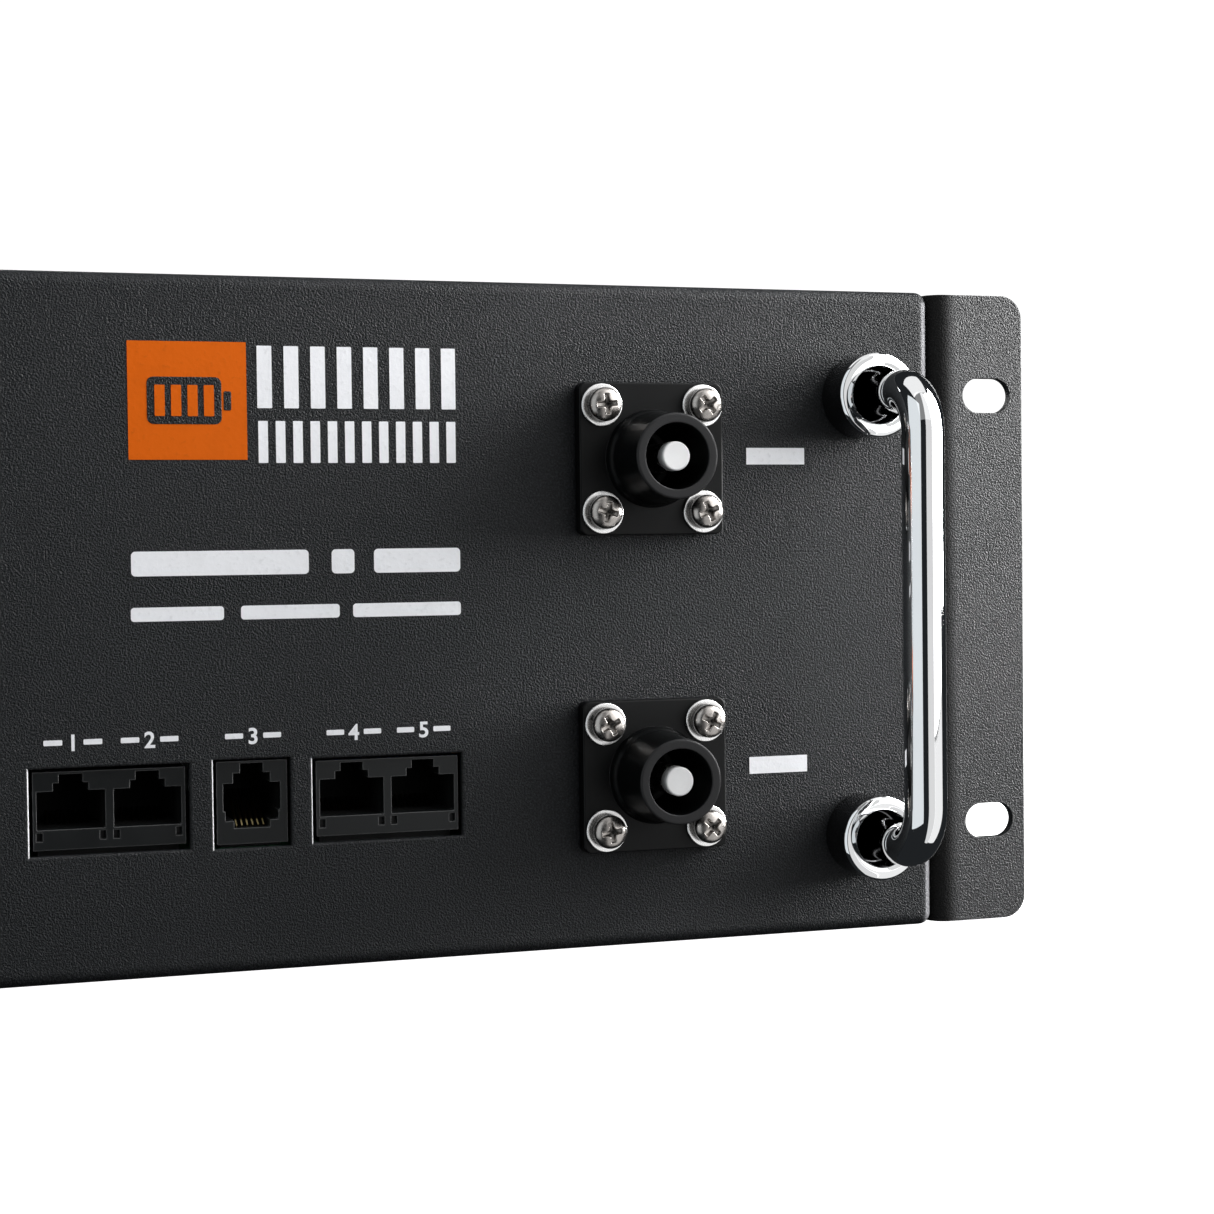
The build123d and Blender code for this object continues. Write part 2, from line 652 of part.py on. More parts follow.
def power_button_housing():
    """Round bush with a raised bezel, clamped in the panel by its nut."""
    bush = rod_y(POWER_X, POWER_Z, 8.0, (-1, 24))
    bezel = rod_y(POWER_X, POWER_Z, 9.6, (-2.2, 0))
    bezel = chamfer(bezel.edges().sort_by(Axis.Y)[:1], 0.8)
    return bush + bezel - rod_y(POWER_X, POWER_Z, 5.95, (-4, 14))


def power_button_cap():
    """Pressed cap with a shallow dish."""
    cap = rod_y(POWER_X, POWER_Z, 5.65, (-3.0, 10.5))
    cap = fillet(cap.edges().sort_by(Axis.Y)[:1], 0.6)
    dish = Pos(POWER_X, -43.0, POWER_Z) * Sphere(40.4)
    return cap - dish


def reset_switch():
    """Small push switch standing on the board."""
    body = block(around(RESET_X, 7), (4.5, 10), (BOARD_Z[1], 33))
    return body - rod_y(RESET_X, RESET_Z, 1.5, (3, 9))


def dip_body():
    """Body of the address switch block, standing on the board."""
    body = block(around(DIP_X, 11.6), (1.0, 9.0), (24.5, 34.0))
    body += block(around(DIP_X, 10.6), (3.0, 9.0), (BOARD_Z[1], 24.5))
    for x in DIP_XS:
        body -= block(around(x, 1.4), (0, 4.0), (26.6, 31.9))
    return body


def dip_lever(x):
    """One address lever, in its lower position."""
    return block(around(x, 1.1), (0.1, 3.7), (26.9, 28.9))


def ground_stud():
    """M6 stud pressed through the panel from inside, with a flat washer on it."""
    stud = rod_y(GROUND_X, GROUND_Z, 5.5, (SHEET, SHEET + 1.5))
    return stud + rod_y(GROUND_X, GROUND_Z, STUD_R, (-15, SHEET + 1))


# --- power path ---


def link_bar(side):
    """Copper bar that joins the studs of the two sockets of one pole."""
    x = side * SOCKET_X
    bar = block(around(x, 18), LINK_BAR_Y, (SOCKET_Z[0] - 9.3, SOCKET_Z[1] + 9.3))
    for z in SOCKET_Z:
        bar -= rod_y(x, z, 3.2, (20, 40))
    return bar


def positive_feed_bar():
    """Bar from the positive sockets over the top of the breaker, with two prongs."""
    x = -SOCKET_X
    bar = block(around(x, 16), FEED_Y, (SOCKET_Z[1] - 8, 125))
    bar += block((x - 8, POLES_X[1] + 3), FEED_Y, (115.5, 125))
    for pole_x in POLES_X:
        bar += block(around(pole_x, 6), FEED_Y, (BREAKER_Z + 31, 116))
    return bar - rod_y(x, SOCKET_Z[1], 3.2, (20, 40))


def negative_feed_bar():
    """Bar from the negative sockets down to the output pad of the board."""
    foot_x = (118, 134)
    bar = block((foot_x[0], SOCKET_X + 8), FEED_Y, (BOARD_Z[1], SOCKET_Z[0] + 8))
    bar -= block((foot_x[1], SOCKET_X + 9), (30, 34), (BOARD_Z[1] - 1, SOCKET_Z[0] - 8))
    bar += block(foot_x, (FEED_Y[0], 50), (BOARD_Z[1], BOARD_Z[1] + 2))
    return bar - rod_y(SOCKET_X, SOCKET_Z[0], 3.2, (20, 40))


def positive_riser_bar():
    """Bar from the first cell's terminal down and under the breaker."""
    x = CELL_XS[0]
    upright = around(x, 18)
    terminal_y = CELL_ROWS_Y[0][0] + 80 - TERMINAL_OFFSET
    bar = block(upright, (RISER_Y[0], terminal_y + 9), (TERMINAL_TOP_Z, TERMINAL_TOP_Z + 2))
    bar += block(upright, RISER_Y, (8, TERMINAL_TOP_Z + 2))
    bar += block((upright[0], POLES_X[1] + 9), RISER_Y, (8, 20))
    bar += block(around(BREAKER_X, BREAKER_W), (FEED_Y[0], RISER_Y[1]), (8, 10))
    for pole_x in POLES_X:
        bar += block(around(pole_x, 6), FEED_Y, (8, BREAKER_Z - 31))
    return bar


def negative_riser_bar():
    """Bar from the last cell's terminal down to the input pad of the board."""
    x = CELL_XS[-1]
    upright = around(x, 18)
    terminal_y = CELL_ROWS_Y[0][0] + 80 - TERMINAL_OFFSET
    bar = block(upright, (RISER_Y[0], terminal_y + 9), (TERMINAL_TOP_Z, TERMINAL_TOP_Z + 2))
    bar += block(upright, RISER_Y, (BOARD_Z[1], TERMINAL_TOP_Z + 2))
    bar += block((112, upright[1]), RISER_Y, (BOARD_Z[1], BOARD_Z[1] + 16))
    return bar + block((112, 130), (68, RISER_Y[1]), (BOARD_Z[1], BOARD_Z[1] + 2))


def stud_nuts():
    """M6 nuts of the four sockets and of the ground stud."""
    for x, z in SOCKETS:
        has_feed = (x < 0 and z == SOCKET_Z[1]) or (x > 0 and z == SOCKET_Z[0])
        front = FEED_Y[1] if has_feed else LINK_BAR_Y[1]
        yield nut(x, z, 10.0, STUD_R, (front, front + NUT_M6_T))
    yield nut(GROUND_X, GROUND_Z, 10.0, STUD_R, (-NUT_M6_T, 0))


# --- cells ---


def cell(x, y_span):
    """Prismatic cell with two terminals and a vent on its top."""
    middle = sum(y_span) / 2
    body = block(around(x, CELL_T), y_span, CELL_Z)
    body = fillet(body.edges().filter_by(Axis.Z), 2.0)
    for side in (-1, 1):
        body += rod_z(x, middle + side * TERMINAL_OFFSET, TERMINAL_R, (CELL_Z[1], TERMINAL_TOP_Z))
    return body - block(around(x, 9), around(middle, 22), (CELL_Z[1] - 0.5, CELL_Z[1] + 1))


def cell_spacers():
    """Insulating sheets between neighbouring cells."""
    for y_span in CELL_ROWS_Y:
        for x in CELL_XS[:-1]:
            sheet_x = (x + CELL_T / 2, x + CELL_PITCH - CELL_T / 2)
            yield block(sheet_x, (y_span[0] + 3, y_span[1] - 3), (CELL_Z[0], CELL_Z[1] - 2))


def cell_end_plates():
    """Stiff plates at both ends of each row."""
    edge = CELL_XS[-1] + CELL_T / 2
    for y_span in CELL_ROWS_Y:
        for side in (-1, 1):
            x = sorted((side * edge, side * (edge + END_PLATE_T)))
            plate = block(x, y_span, (CELL_Z[0], CELL_Z[1] - 2))
            yield fillet(plate.edges().filter_by(Axis.Z), 2.0)


def compression_bands():
    """Steel bands that hold each row of cells together."""
    x = CELL_XS[-1] + CELL_T / 2 + END_PLATE_T
    for y_span in CELL_ROWS_Y:
        for z in ((35, 51), (83, 99)):
            outer = block((-x - 0.8, x + 0.8), (y_span[0] - 0.8, y_span[1] + 0.8), z)
            outer = fillet(outer.edges().filter_by(Axis.Z), 2.8)
            inner = block((-x, x), y_span, z)
            yield outer - fillet(inner.edges().filter_by(Axis.Z), 2.0)


def cell_links():
    """Copper links that put all the cells in series."""
    z = (TERMINAL_TOP_Z, TERMINAL_TOP_Z + LINK_T)
    front, rear = [(span[0] + span[1]) / 2 for span in CELL_ROWS_Y]
    for x in CELL_XS:
        yield block(around(x, 18), (front + TERMINAL_OFFSET - 9, rear - TERMINAL_OFFSET + 9), z)
    for i in range(1, CELLS_PER_ROW - 1, 2):
        yield block((CELL_XS[i] - 9, CELL_XS[i + 1] + 9), around(front - TERMINAL_OFFSET, 18), z)
    for i in range(0, CELLS_PER_ROW, 2):
        yield block((CELL_XS[i] - 9, CELL_XS[i + 1] + 9), around(rear + TERMINAL_OFFSET, 18), z)


def sense_harness():
    """Flat ribbon from the board up and along the top of the cells."""
    x = (-65, -47)
    level = (TERMINAL_TOP_Z + LINK_T, TERMINAL_TOP_Z + LINK_T + 1.0)
    ribbon = block(x, (78, 79), (34, level[1])) + block(x, (78, 400), level)
    outer = ribbon.edges().filter_by(Axis.X).filter_by_position(Axis.Y, 78, 78)
    ribbon = fillet(outer.sort_by(Axis.Z)[-1:], 2.0)
    inner = ribbon.edges().filter_by(Axis.X).filter_by_position(Axis.Y, 79, 79)
    return fillet(inner.sort_by(Axis.Z)[-1:], 1.0)


def insulation_sheets():
    """Sheets under the cells and glued to the underside of the lid."""
    yield block((-213, 213), (92, 417), (SHEET, CELL_Z[0]))
    yield block((-205, 205), (33, 404), (CASE_H - SHEET - 0.8, CASE_H - SHEET))


# --- write every sub-part ---
save("front_panel", front_panel())
save("front_frame", front_frame())
save("base_tray", base_tray())
save("top_cover", top_cover())
screws = [lid_screw(x, y, i) for i, (x, y) in enumerate(LID_SCREWS + PAN_SCREWS)]
save("case_screws", group(screws))

ear = rack_ear()
save("rack_ear_right", ear)
save("rack_ear_left", mirrored(ear))
right_screws = [ear_screw(*ear_screw_place(i), i) for i in range(6)]
save("ear_screws", group(right_screws + [mirrored(screw) for screw in right_screws]))

rod = handle_rod()
save("handle_right", rod)
save("handle_left", mirrored(rod))
save("handle_collars", group(handle_collar(x, z) for x, z in HANDLE_FEET))
save("handle_screws", group(handle_screw(x, z) for x, z in HANDLE_FEET))

for pole, x in (("positive", -SOCKET_X), ("negative", SOCKET_X)):
    for level, z in zip(("lower", "upper"), SOCKET_Z):
        save(pole + "_socket_" + level, socket_housing(x, z))
save("socket_contact_pins", group(contact_pin(x, z) for x, z in SOCKETS))
save("socket_pin_caps", group(pin_cap(x, z) for x, z in SOCKETS))
save("socket_flat_washers", group(at_screws(ring(FLAT_WASHER[0], 2.15, FLAT_WASHER[1]), 0)))
save("socket_spring_washers", group(at_screws(split_ring(), 1)))
save("socket_screws", group(at_screws(pan_head_screw(11.5), 2)))
nuts = [nut(x, z, M4_NUT_AF, 2.0, (SHEET, SHEET + M4_NUT_T)) for x, z in SOCKET_SCREWS]
save("socket_nuts", group(nuts))

for name, first_x in zip(("left", "right"), PAIR_FIRST_PORT_X):
    save("network_jack_pair_" + name, jack_pair(first_x))
save("service_jack", single_jack())
save("jack_contacts", group(jack_contacts()))

save("bms_board", bms_board())
save("bms_components", group(bms_components()))
save("bms_heat_sink", heat_sink())
save("board_standoffs", group(board_standoff(x, y) for x, y in STANDOFFS))
save("sense_harness", sense_harness())

save("breaker_body", breaker_body())
save("breaker_toggle", breaker_toggle())
save("breaker_bracket", breaker_bracket())

save("power_button_housing", power_button_housing())
save("power_button_cap", power_button_cap())
save("power_button_nut", nut(POWER_X, POWER_Z, 20.0, 8.05, (SHEET, SHEET + 3)))
save("reset_switch_body", reset_switch())
save("reset_button", rod_y(RESET_X, RESET_Z, 1.35, (0.7, 7.5)))
save("dip_switch_body", dip_body())
for number, x in enumerate(DIP_XS, start=1):
    save("dip_lever_" + str(number), dip_lever(x))
save("status_light_pipes", group(rod_y(x, LIGHT_Z, 1.5, (-0.6, 12)) for x in LIGHT_XS))
save("ground_stud", ground_stud())

save("positive_link_bar", link_bar(-1))
save("negative_link_bar", link_bar(1))
save("positive_feed_bar", positive_feed_bar())
save("negative_feed_bar", negative_feed_bar())
save("positive_riser_bar", positive_riser_bar())
save("negative_riser_bar", negative_riser_bar())
save("stud_nuts", group(stud_nuts()))

for name, y_span in zip(("front", "rear"), CELL_ROWS_Y):
    save("cells_" + name + "_row", group(cell(x, y_span) for x in CELL_XS))
save("cell_spacers", group(cell_spacers()))
save("cell_end_plates", group(cell_end_plates()))
save("compression_bands", group(compression_bands()))
save("cell_links", group(cell_links()))
save("insulation_sheets", group(insulation_sheets()))
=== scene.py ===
import json
import math

import bmesh
import bpy
from mathutils import Matrix, Vector


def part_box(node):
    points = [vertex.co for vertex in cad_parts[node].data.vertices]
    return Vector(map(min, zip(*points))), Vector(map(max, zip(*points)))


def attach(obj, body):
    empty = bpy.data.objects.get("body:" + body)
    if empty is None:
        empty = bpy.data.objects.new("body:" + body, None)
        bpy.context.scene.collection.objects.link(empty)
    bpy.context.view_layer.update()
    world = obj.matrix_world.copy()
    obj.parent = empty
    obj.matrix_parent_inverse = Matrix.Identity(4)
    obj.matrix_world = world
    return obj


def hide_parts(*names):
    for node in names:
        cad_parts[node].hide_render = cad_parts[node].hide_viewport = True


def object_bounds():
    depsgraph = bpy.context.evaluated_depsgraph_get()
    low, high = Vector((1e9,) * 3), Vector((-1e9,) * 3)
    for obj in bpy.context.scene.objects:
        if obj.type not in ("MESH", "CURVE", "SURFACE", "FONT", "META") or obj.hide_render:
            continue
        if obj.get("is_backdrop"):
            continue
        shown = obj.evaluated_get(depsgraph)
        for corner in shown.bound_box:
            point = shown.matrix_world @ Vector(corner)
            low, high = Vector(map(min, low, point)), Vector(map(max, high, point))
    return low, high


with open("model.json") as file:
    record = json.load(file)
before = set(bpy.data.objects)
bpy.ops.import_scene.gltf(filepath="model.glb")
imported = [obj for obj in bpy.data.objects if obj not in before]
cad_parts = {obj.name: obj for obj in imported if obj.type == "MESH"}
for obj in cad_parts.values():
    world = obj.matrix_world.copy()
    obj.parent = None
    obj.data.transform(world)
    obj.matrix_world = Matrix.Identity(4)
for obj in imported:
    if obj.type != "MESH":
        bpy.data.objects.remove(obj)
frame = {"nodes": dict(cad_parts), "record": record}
CAD_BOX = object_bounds()
NODES = frame["nodes"]
RECORD = frame["record"]
MM = 0.001
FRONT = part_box("front_panel")[0].y  # the panel's front face
TOP_FOLD = 129.5 * MM  # where the panel's front turns back into its top

# Pairs of places between which a material changes, in metres.
PANEL_EDGE = (FRONT + 0.04 * MM, FRONT + 0.14 * MM)
PANEL_EDGE_BACK = (FRONT + 1.2 * MM, FRONT + 1.5 * MM)
PORTS_END = (150 * MM, 145 * MM)
PORT_INSIDE_SHADE = (FRONT + 2 * MM, FRONT + 6 * MM)
EAR_FOLD_SHADE = (226.2 * MM, 223.8 * MM)
COLLAR_SIDE_SHADE = (FRONT - 9.2 * MM, FRONT - 8.9 * MM)
SOCKET_RIM_HIGHLIGHT = (FRONT - 17.2 * MM, FRONT - 17.6 * MM)
CROWN_FOOT_SHADE = (FRONT - 6.6 * MM, FRONT - 6.1 * MM)
CONTACT_TOP = (28.4 * MM, 28.7 * MM)
CONTACT_FOOT = (27.75 * MM, 27.6 * MM)
CONTACT_SIDE = (0.11 * MM, 0.15 * MM)
CONTACT_PITCH = 1.02 * MM
CONTACT_X = 78.25 * MM + CONTACT_PITCH / 2  # middle of one contact of the six-way port

COAT = (0.0095, 0.0105, 0.0118)
# Painted light: a lighter copy of the panel coat for the ears, which catch more light.
LIT_EAR_COAT = (0.014, 0.0145, 0.0155)
# Painted highlight: pale colours for the panel's front edges that face the light from the right.
EDGE_HIGHLIGHT_COAT = (0.2, 0.2, 0.21)
PORT_EDGE_HIGHLIGHT = (0.8, 0.8, 0.81)
# Painted shade: near black for the ear's bend and the insides of the ports.
PAINTED_SHADE_BLACK = (0.001, 0.001, 0.001)
CONTACT_SHADE = (0.02, 0.014, 0.008)


def at(x, depth, z):
    """A point given in millimetres: across, behind the front face, and up."""
    return Vector((x * MM, FRONT + depth * MM, z * MM))


# ---------------------------------------------------------------- materials


class Look:
    """A procedural material, built in layers on one Principled shader."""

    def __init__(self, name, colour, roughness, metallic=0.0):
        self.mat = bpy.data.materials.new(name)
        self.mat.use_nodes = True
        self.tree = self.mat.node_tree
        self.shader = self.tree.nodes["Principled BSDF"]
        self.shader.inputs["Metallic"].default_value = metallic
        self.place = self.node("ShaderNodeTexCoord").outputs["Object"]
        self.colour = (*colour, 1)
        self.rough = roughness
        self.normal = None

    def node(self, kind, **settings):
        """Add a node with some of its settings changed."""
        made = self.tree.nodes.new(kind)
        for key, value in settings.items():
            setattr(made, key, value)
        return made

    def join(self, source, target):
        """Link an output to a socket, or set the socket to a plain value."""
        if isinstance(source, (int, float, tuple)):
            target.default_value = source
        else:
            self.tree.links.new(source, target)

    def noise(self, size_mm, detail=2.0, roughness=0.5, stretch=(1, 1, 1)):
        """Noise from 0 to 1 whose features are about size_mm across."""
        place = self.node("ShaderNodeMapping")
        place.inputs["Scale"].default_value = stretch
        self.join(self.place, place.inputs["Vector"])
        made = self.node("ShaderNodeTexNoise")
        made.inputs["Scale"].default_value = 0.6 / (size_mm * MM)
        made.inputs["Detail"].default_value = detail
        made.inputs["Roughness"].default_value = roughness
        self.join(place.outputs[0], made.inputs["Vector"])
        return made.outputs["Fac"]

    def cells(self, size_mm):
        """Distance pattern of a Voronoi texture with cells of size_mm."""
        made = self.node("ShaderNodeTexVoronoi")
        made.inputs["Scale"].default_value = 1.0 / (size_mm * MM)
        self.join(self.place, made.inputs["Vector"])
        return made.outputs["Distance"]

    def part(self, vector, axis):
        """One coordinate of a vector."""
        made = self.node("ShaderNodeSeparateXYZ")
        self.join(vector, made.inputs[0])
        return made.outputs[axis]

    def along(self, axis, low, high):
        """Mask that rises from 0 to 1 between two places along an axis, in metres."""
        return self.spread(self.part(self.place, axis), low, high)

    def facing_right(self, low, high):
        """Mask of the surfaces that face the right-hand side."""
        normal = self.node("ShaderNodeNewGeometry").outputs["Normal"]
        return self.spread(self.part(normal, "X"), low, high)

    def maths(self, operation, first, second):
        """Work out one step on two outputs or numbers."""
        made = self.node("ShaderNodeMath", operation=operation)
        self.join(first, made.inputs[0])
        self.join(second, made.inputs[1])
        return made.outputs[0]

    def spread(self, source, low, high, to_low=0.0, to_high=1.0):
        """Stretch the part of a pattern between low and high over a new range."""
        made = self.node("ShaderNodeMapRange")
        made.inputs["From Min"].default_value = low
        made.inputs["From Max"].default_value = high
        made.inputs["To Min"].default_value = to_low
        made.inputs["To Max"].default_value = to_high
        self.join(source, made.inputs["Value"])
        return made.outputs[0]

    def tint(self, mask, colour, amount=1.0):
        """Mix another colour in where the mask is high."""
        mix = self.node("ShaderNodeMix", data_type="RGBA")
        self.join(self.maths("MULTIPLY", mask, amount), mix.inputs[0])
        self.join(self.colour, mix.inputs[6])
        mix.inputs[7].default_value = (*colour, 1)
        self.colour = mix.outputs[2]

    def polish(self, mask, change):
        """Add to the roughness where the mask is high."""
        self.rough = self.maths("ADD", self.rough, self.maths("MULTIPLY", mask, change))

    def soften(self, radius_mm):
        """Round the shading of sharp edges."""
        made = self.node("ShaderNodeBevel", samples=4)
        made.inputs["Radius"].default_value = radius_mm * MM
        self.normal = made.outputs[0]

    def bump(self, height, depth_mm, strength):
        """Add relief on top of the softened edges."""
        made = self.node("ShaderNodeBump")
        made.inputs["Strength"].default_value = strength
        made.inputs["Distance"].default_value = depth_mm * MM
        self.join(height, made.inputs["Height"])
        if self.normal is not None:
            self.join(self.normal, made.inputs["Normal"])
        self.normal = made.outputs[0]

    def edges(self, radius_mm):
        """Mask that is high along sharp edges."""
        wide = self.node("ShaderNodeBevel", samples=4)
        wide.inputs["Radius"].default_value = radius_mm * MM
        flat = self.node("ShaderNodeNewGeometry").outputs["Normal"]
        dot = self.node("ShaderNodeVectorMath", operation="DOT_PRODUCT")
        self.join(wide.outputs[0], dot.inputs[0])
        self.join(flat, dot.inputs[1])
        return self.spread(dot.outputs["Value"], 0.995, 0.93)

    def done(self, **fixed):
        """Wire the layers to the shader; fixed are its plain sockets."""
        for key, value in fixed.items():
            self.shader.inputs[key.replace("_", " ")].default_value = value
        self.join(self.colour, self.shader.inputs["Base Color"])
        self.join(self.rough, self.shader.inputs["Roughness"])
        if self.normal is not None:
            self.join(self.normal, self.shader.inputs["Normal"])
        return self.mat


def dimmed(colour, share):
    """A darker shade of a colour."""
    return tuple(channel * share for channel in colour)


def powder_coat(name, colour, specular=0.17, roughness=0.4, ior=1.5, painted_edge_highlight=False, shaded_fold=None):
    """Fine wrinkle powder coat: a sandy relief with faint handling marks, and small glints painted pale
    on the peaks of its grain.

    Painted_edge_highlight paints pale highlights on the front edges that face right, and shaded_fold is a
    dull bend painted near black as shade."""
    look = Look(name, colour, roughness)
    grain = look.noise(0.25, detail=2.0, roughness=0.55)
    fine = look.noise(0.14, detail=1.0)
    relief = look.maths("ADD", grain, look.maths("MULTIPLY", fine, 0.5))
    look.tint(look.spread(look.noise(70, detail=3), 0.35, 0.7), dimmed(colour, 0.82), 0.6)
    # Painted glints: pale specks on the peaks of the grain. Painted shade: darker hollows of the grain,
    # on top of its own tone.
    look.tint(look.spread(grain, 0.5, 0.68), tuple(c * 2.4 + 0.006 for c in colour), 0.6)
    look.tint(look.spread(grain, 0.5, 0.34), dimmed(colour, 0.35), 0.7)
    look.tint(look.edges(0.5), (0.12, 0.12, 0.12), 0.2)
    look.polish(look.spread(look.noise(24, detail=4), 0.45, 0.75), 0.07)
    if painted_edge_highlight:
        # Painted highlight: the front edges that face right are painted pale, palest around the ports,
        # for the light from the right.
        edge_glint_mask = look.maths("SUBTRACT", look.along("Y", *PANEL_EDGE), look.along("Y", *PANEL_EDGE_BACK))
        edge_glint_mask = look.maths("MULTIPLY", edge_glint_mask, look.along("Z", TOP_FOLD, TOP_FOLD - 0.5 * MM))
        edge_glint_mask = look.maths("MULTIPLY", edge_glint_mask, look.facing_right(0.1, 0.4))
        look.tint(edge_glint_mask, EDGE_HIGHLIGHT_COAT, 0.95)
        port_glint_mask = look.maths("MULTIPLY", edge_glint_mask, look.along("X", *PORTS_END))
        look.tint(port_glint_mask, PORT_EDGE_HIGHLIGHT)
    if shaded_fold is not None:
        # Painted shade: the ear's bend in the gap is painted near black.
        bend = look.along("X", *shaded_fold)
        look.tint(bend, PAINTED_SHADE_BLACK)
        look.polish(bend, 0.5)
    look.soften(0.35)
    look.bump(relief, 0.3, 1.0)
    return look.done(IOR=ior, Specular_IOR_Level=specular)


def polished_chrome(name, side=None):
    """Bright chrome with a few hazy patches; side is where a dark reflection is painted on, behind a
    front face.
    """
    look = Look(name, (0.83, 0.835, 0.84), 0.03, 1.0)
    look.tint(look.spread(look.noise(14, detail=4), 0.55, 0.8), (0.72, 0.725, 0.73), 0.5)
    look.polish(look.spread(look.noise(9, detail=5, stretch=(1, 1, 0.3)), 0.5, 0.85), 0.05)
    if side is not None:
        # Painted reflection: the chrome behind the front face is painted dark, for the dark room it would
        # reflect.
        look.tint(look.along("Y", *side), (0.16, 0.16, 0.165))
    look.bump(look.noise(7, detail=2), 0.006, 0.2)
    return look.done()


def plated_steel(name, colour, roughness):
    """Zinc or nickel plate with a faint orange peel and rubbed edges."""
    look = Look(name, colour, roughness, 1.0)
    look.tint(look.spread(look.noise(3, detail=4), 0.45, 0.75), dimmed(colour, 0.78), 0.7)
    look.tint(look.edges(0.25), (0.95, 0.95, 0.95), 0.5)
    look.polish(look.spread(look.noise(1.2, detail=3), 0.4, 0.8), 0.16)
    look.soften(0.15)
    look.bump(look.noise(0.7, detail=3), 0.03, 0.4)
    return look.done()


def moulded(name, colour, roughness, grain_mm=0.35, soft_mm=0.25, specular=0.5, edge_wear_and_highlight=0.3, shaded_hollow=None):
    """Moulded plastic: spark-eroded texture, a few scuffs and slightly polished edges, painted paler as
    wear and, where the amount is high, as painted highlight.

    Shaded_hollow is where painted shade turns the inside of an opening dull and dark."""
    look = Look(name, colour, roughness)
    look.tint(look.spread(look.noise(8, detail=4), 0.4, 0.75), dimmed(colour, 0.75), 0.6)
    # Pale edges: wear, and painted highlight where the amount is high.
    look.tint(look.edges(soft_mm * 1.4), tuple(min(1.0, c * 1.5 + edge_wear_and_highlight / 10) for c in colour), edge_wear_and_highlight)
    look.polish(look.spread(look.noise(5, detail=4), 0.4, 0.8), 0.1)
    if shaded_hollow is not None:
        # Painted shade: the inside of the opening is painted near black.
        inside = look.along("Y", *shaded_hollow)
        look.tint(inside, PAINTED_SHADE_BLACK)
        look.polish(inside, 0.5)
    look.soften(soft_mm)
    look.bump(look.noise(grain_mm, detail=3, roughness=0.6), 0.03, 0.5)
    return look.done(IOR=1.5, Specular_IOR_Level=specular)


def socket_plastic(name, colour, rim_highlight, specular):
    """Moulded socket body whose rim is painted paler as a highlight."""
    look = Look(name, colour, 0.36)
    look.tint(look.spread(look.noise(8, detail=4), 0.4, 0.75), dimmed(colour, 0.75), 0.6)
    # Painted highlight: the rim is painted paler than the shaded flange.
    look.tint(look.along("Y", *SOCKET_RIM_HIGHLIGHT), rim_highlight)
    look.polish(look.spread(look.noise(5, detail=4), 0.4, 0.8), 0.1)
    look.bump(look.noise(0.3, detail=3, roughness=0.6), 0.02, 0.4)
    return look.done(IOR=1.5, Specular_IOR_Level=specular)


def spring_gold():
    """Gold on the tips of the port contacts, with painted shade at their sides, at their feet and towards
    the back.
    """
    look = Look("gold_contact", (1.0, 0.86, 0.45), 0.5, 1.0)
    look.tint(look.spread(look.noise(0.6, detail=3), 0.45, 0.75), (0.7, 0.5, 0.2), 0.5)
    offset = look.maths("SUBTRACT", look.part(look.place, "X"), CONTACT_X)
    from_middle = look.maths("PINGPONG", offset, CONTACT_PITCH / 2)
    # Painted shade: the contacts' sides, their upper parts and their feet are painted dark.
    look.tint(look.spread(from_middle, *CONTACT_SIDE), CONTACT_SHADE)
    look.tint(look.along("Z", *CONTACT_TOP), CONTACT_SHADE)
    look.tint(look.along("Z", *CONTACT_FOOT), CONTACT_SHADE)
    look.polish(look.noise(0.4, detail=3), 0.15)
    look.bump(look.noise(0.3, detail=3), 0.01, 0.3)
    return look.done()


def bare_metal(name, colour, roughness, stretch=(1, 1, 1)):
    """Mill-finish metal with rolling lines along one axis."""
    look = Look(name, colour, roughness, 1.0)
    lines = look.noise(0.5, detail=4, stretch=stretch)
    look.tint(look.spread(look.noise(20, detail=4), 0.4, 0.7), dimmed(colour, 0.7), 0.6)
    look.tint(look.spread(lines, 0.5, 0.75), dimmed(colour, 0.85), 0.5)
    look.polish(lines, 0.18)
    look.soften(0.2)
    look.bump(lines, 0.02, 0.5)
    return look.done()


def washer_steel():
    """Bright nickel-plated washer, smoother than the screws."""
    look = Look("washer_steel", (0.93, 0.925, 0.92), 0.2, 1.0)
    look.tint(look.spread(look.noise(2.5, detail=4), 0.55, 0.85), (0.78, 0.77, 0.75), 0.5)
    look.polish(look.spread(look.noise(1.0, detail=3), 0.4, 0.8), 0.12)
    look.bump(look.noise(0.5, detail=3), 0.01, 0.3)
    return look.done()


def driven_screw():
    """Yellowed zinc on the socket screws, with painted shade inside the cross and below the crown."""
    look = Look("driven_screw", (0.42, 0.395, 0.375), 0.24, 1.0)
    # Painted shade: all that lies behind the crown, the cross, the head's side and the spring washers, is
    # painted dark.
    look.tint(look.along("Y", *CROWN_FOOT_SHADE), (0.08, 0.075, 0.07))
    look.tint(look.spread(look.noise(0.8, detail=4), 0.45, 0.75), (0.26, 0.24, 0.22), 0.5)
    look.polish(look.spread(look.noise(0.6, detail=3), 0.4, 0.8), 0.14)
    look.bump(look.noise(0.4, detail=3), 0.012, 0.4)
    return look.done()


def printed_ink(name, colour, specular=0.25):
    """Screen-printed ink that lets the wrinkle of the coat through."""
    look = Look(name, colour, 0.5)
    grain = look.noise(0.62, detail=3.0, roughness=0.6)
    look.tint(look.spread(grain, 0.58, 0.8), dimmed(colour, 0.72), 0.7)
    look.tint(look.spread(look.noise(3, detail=3), 0.5, 0.8), dimmed(colour, 0.9), 0.6)
    look.bump(grain, 0.06, 0.6)
    return look.done(IOR=1.45, Specular_IOR_Level=specular)


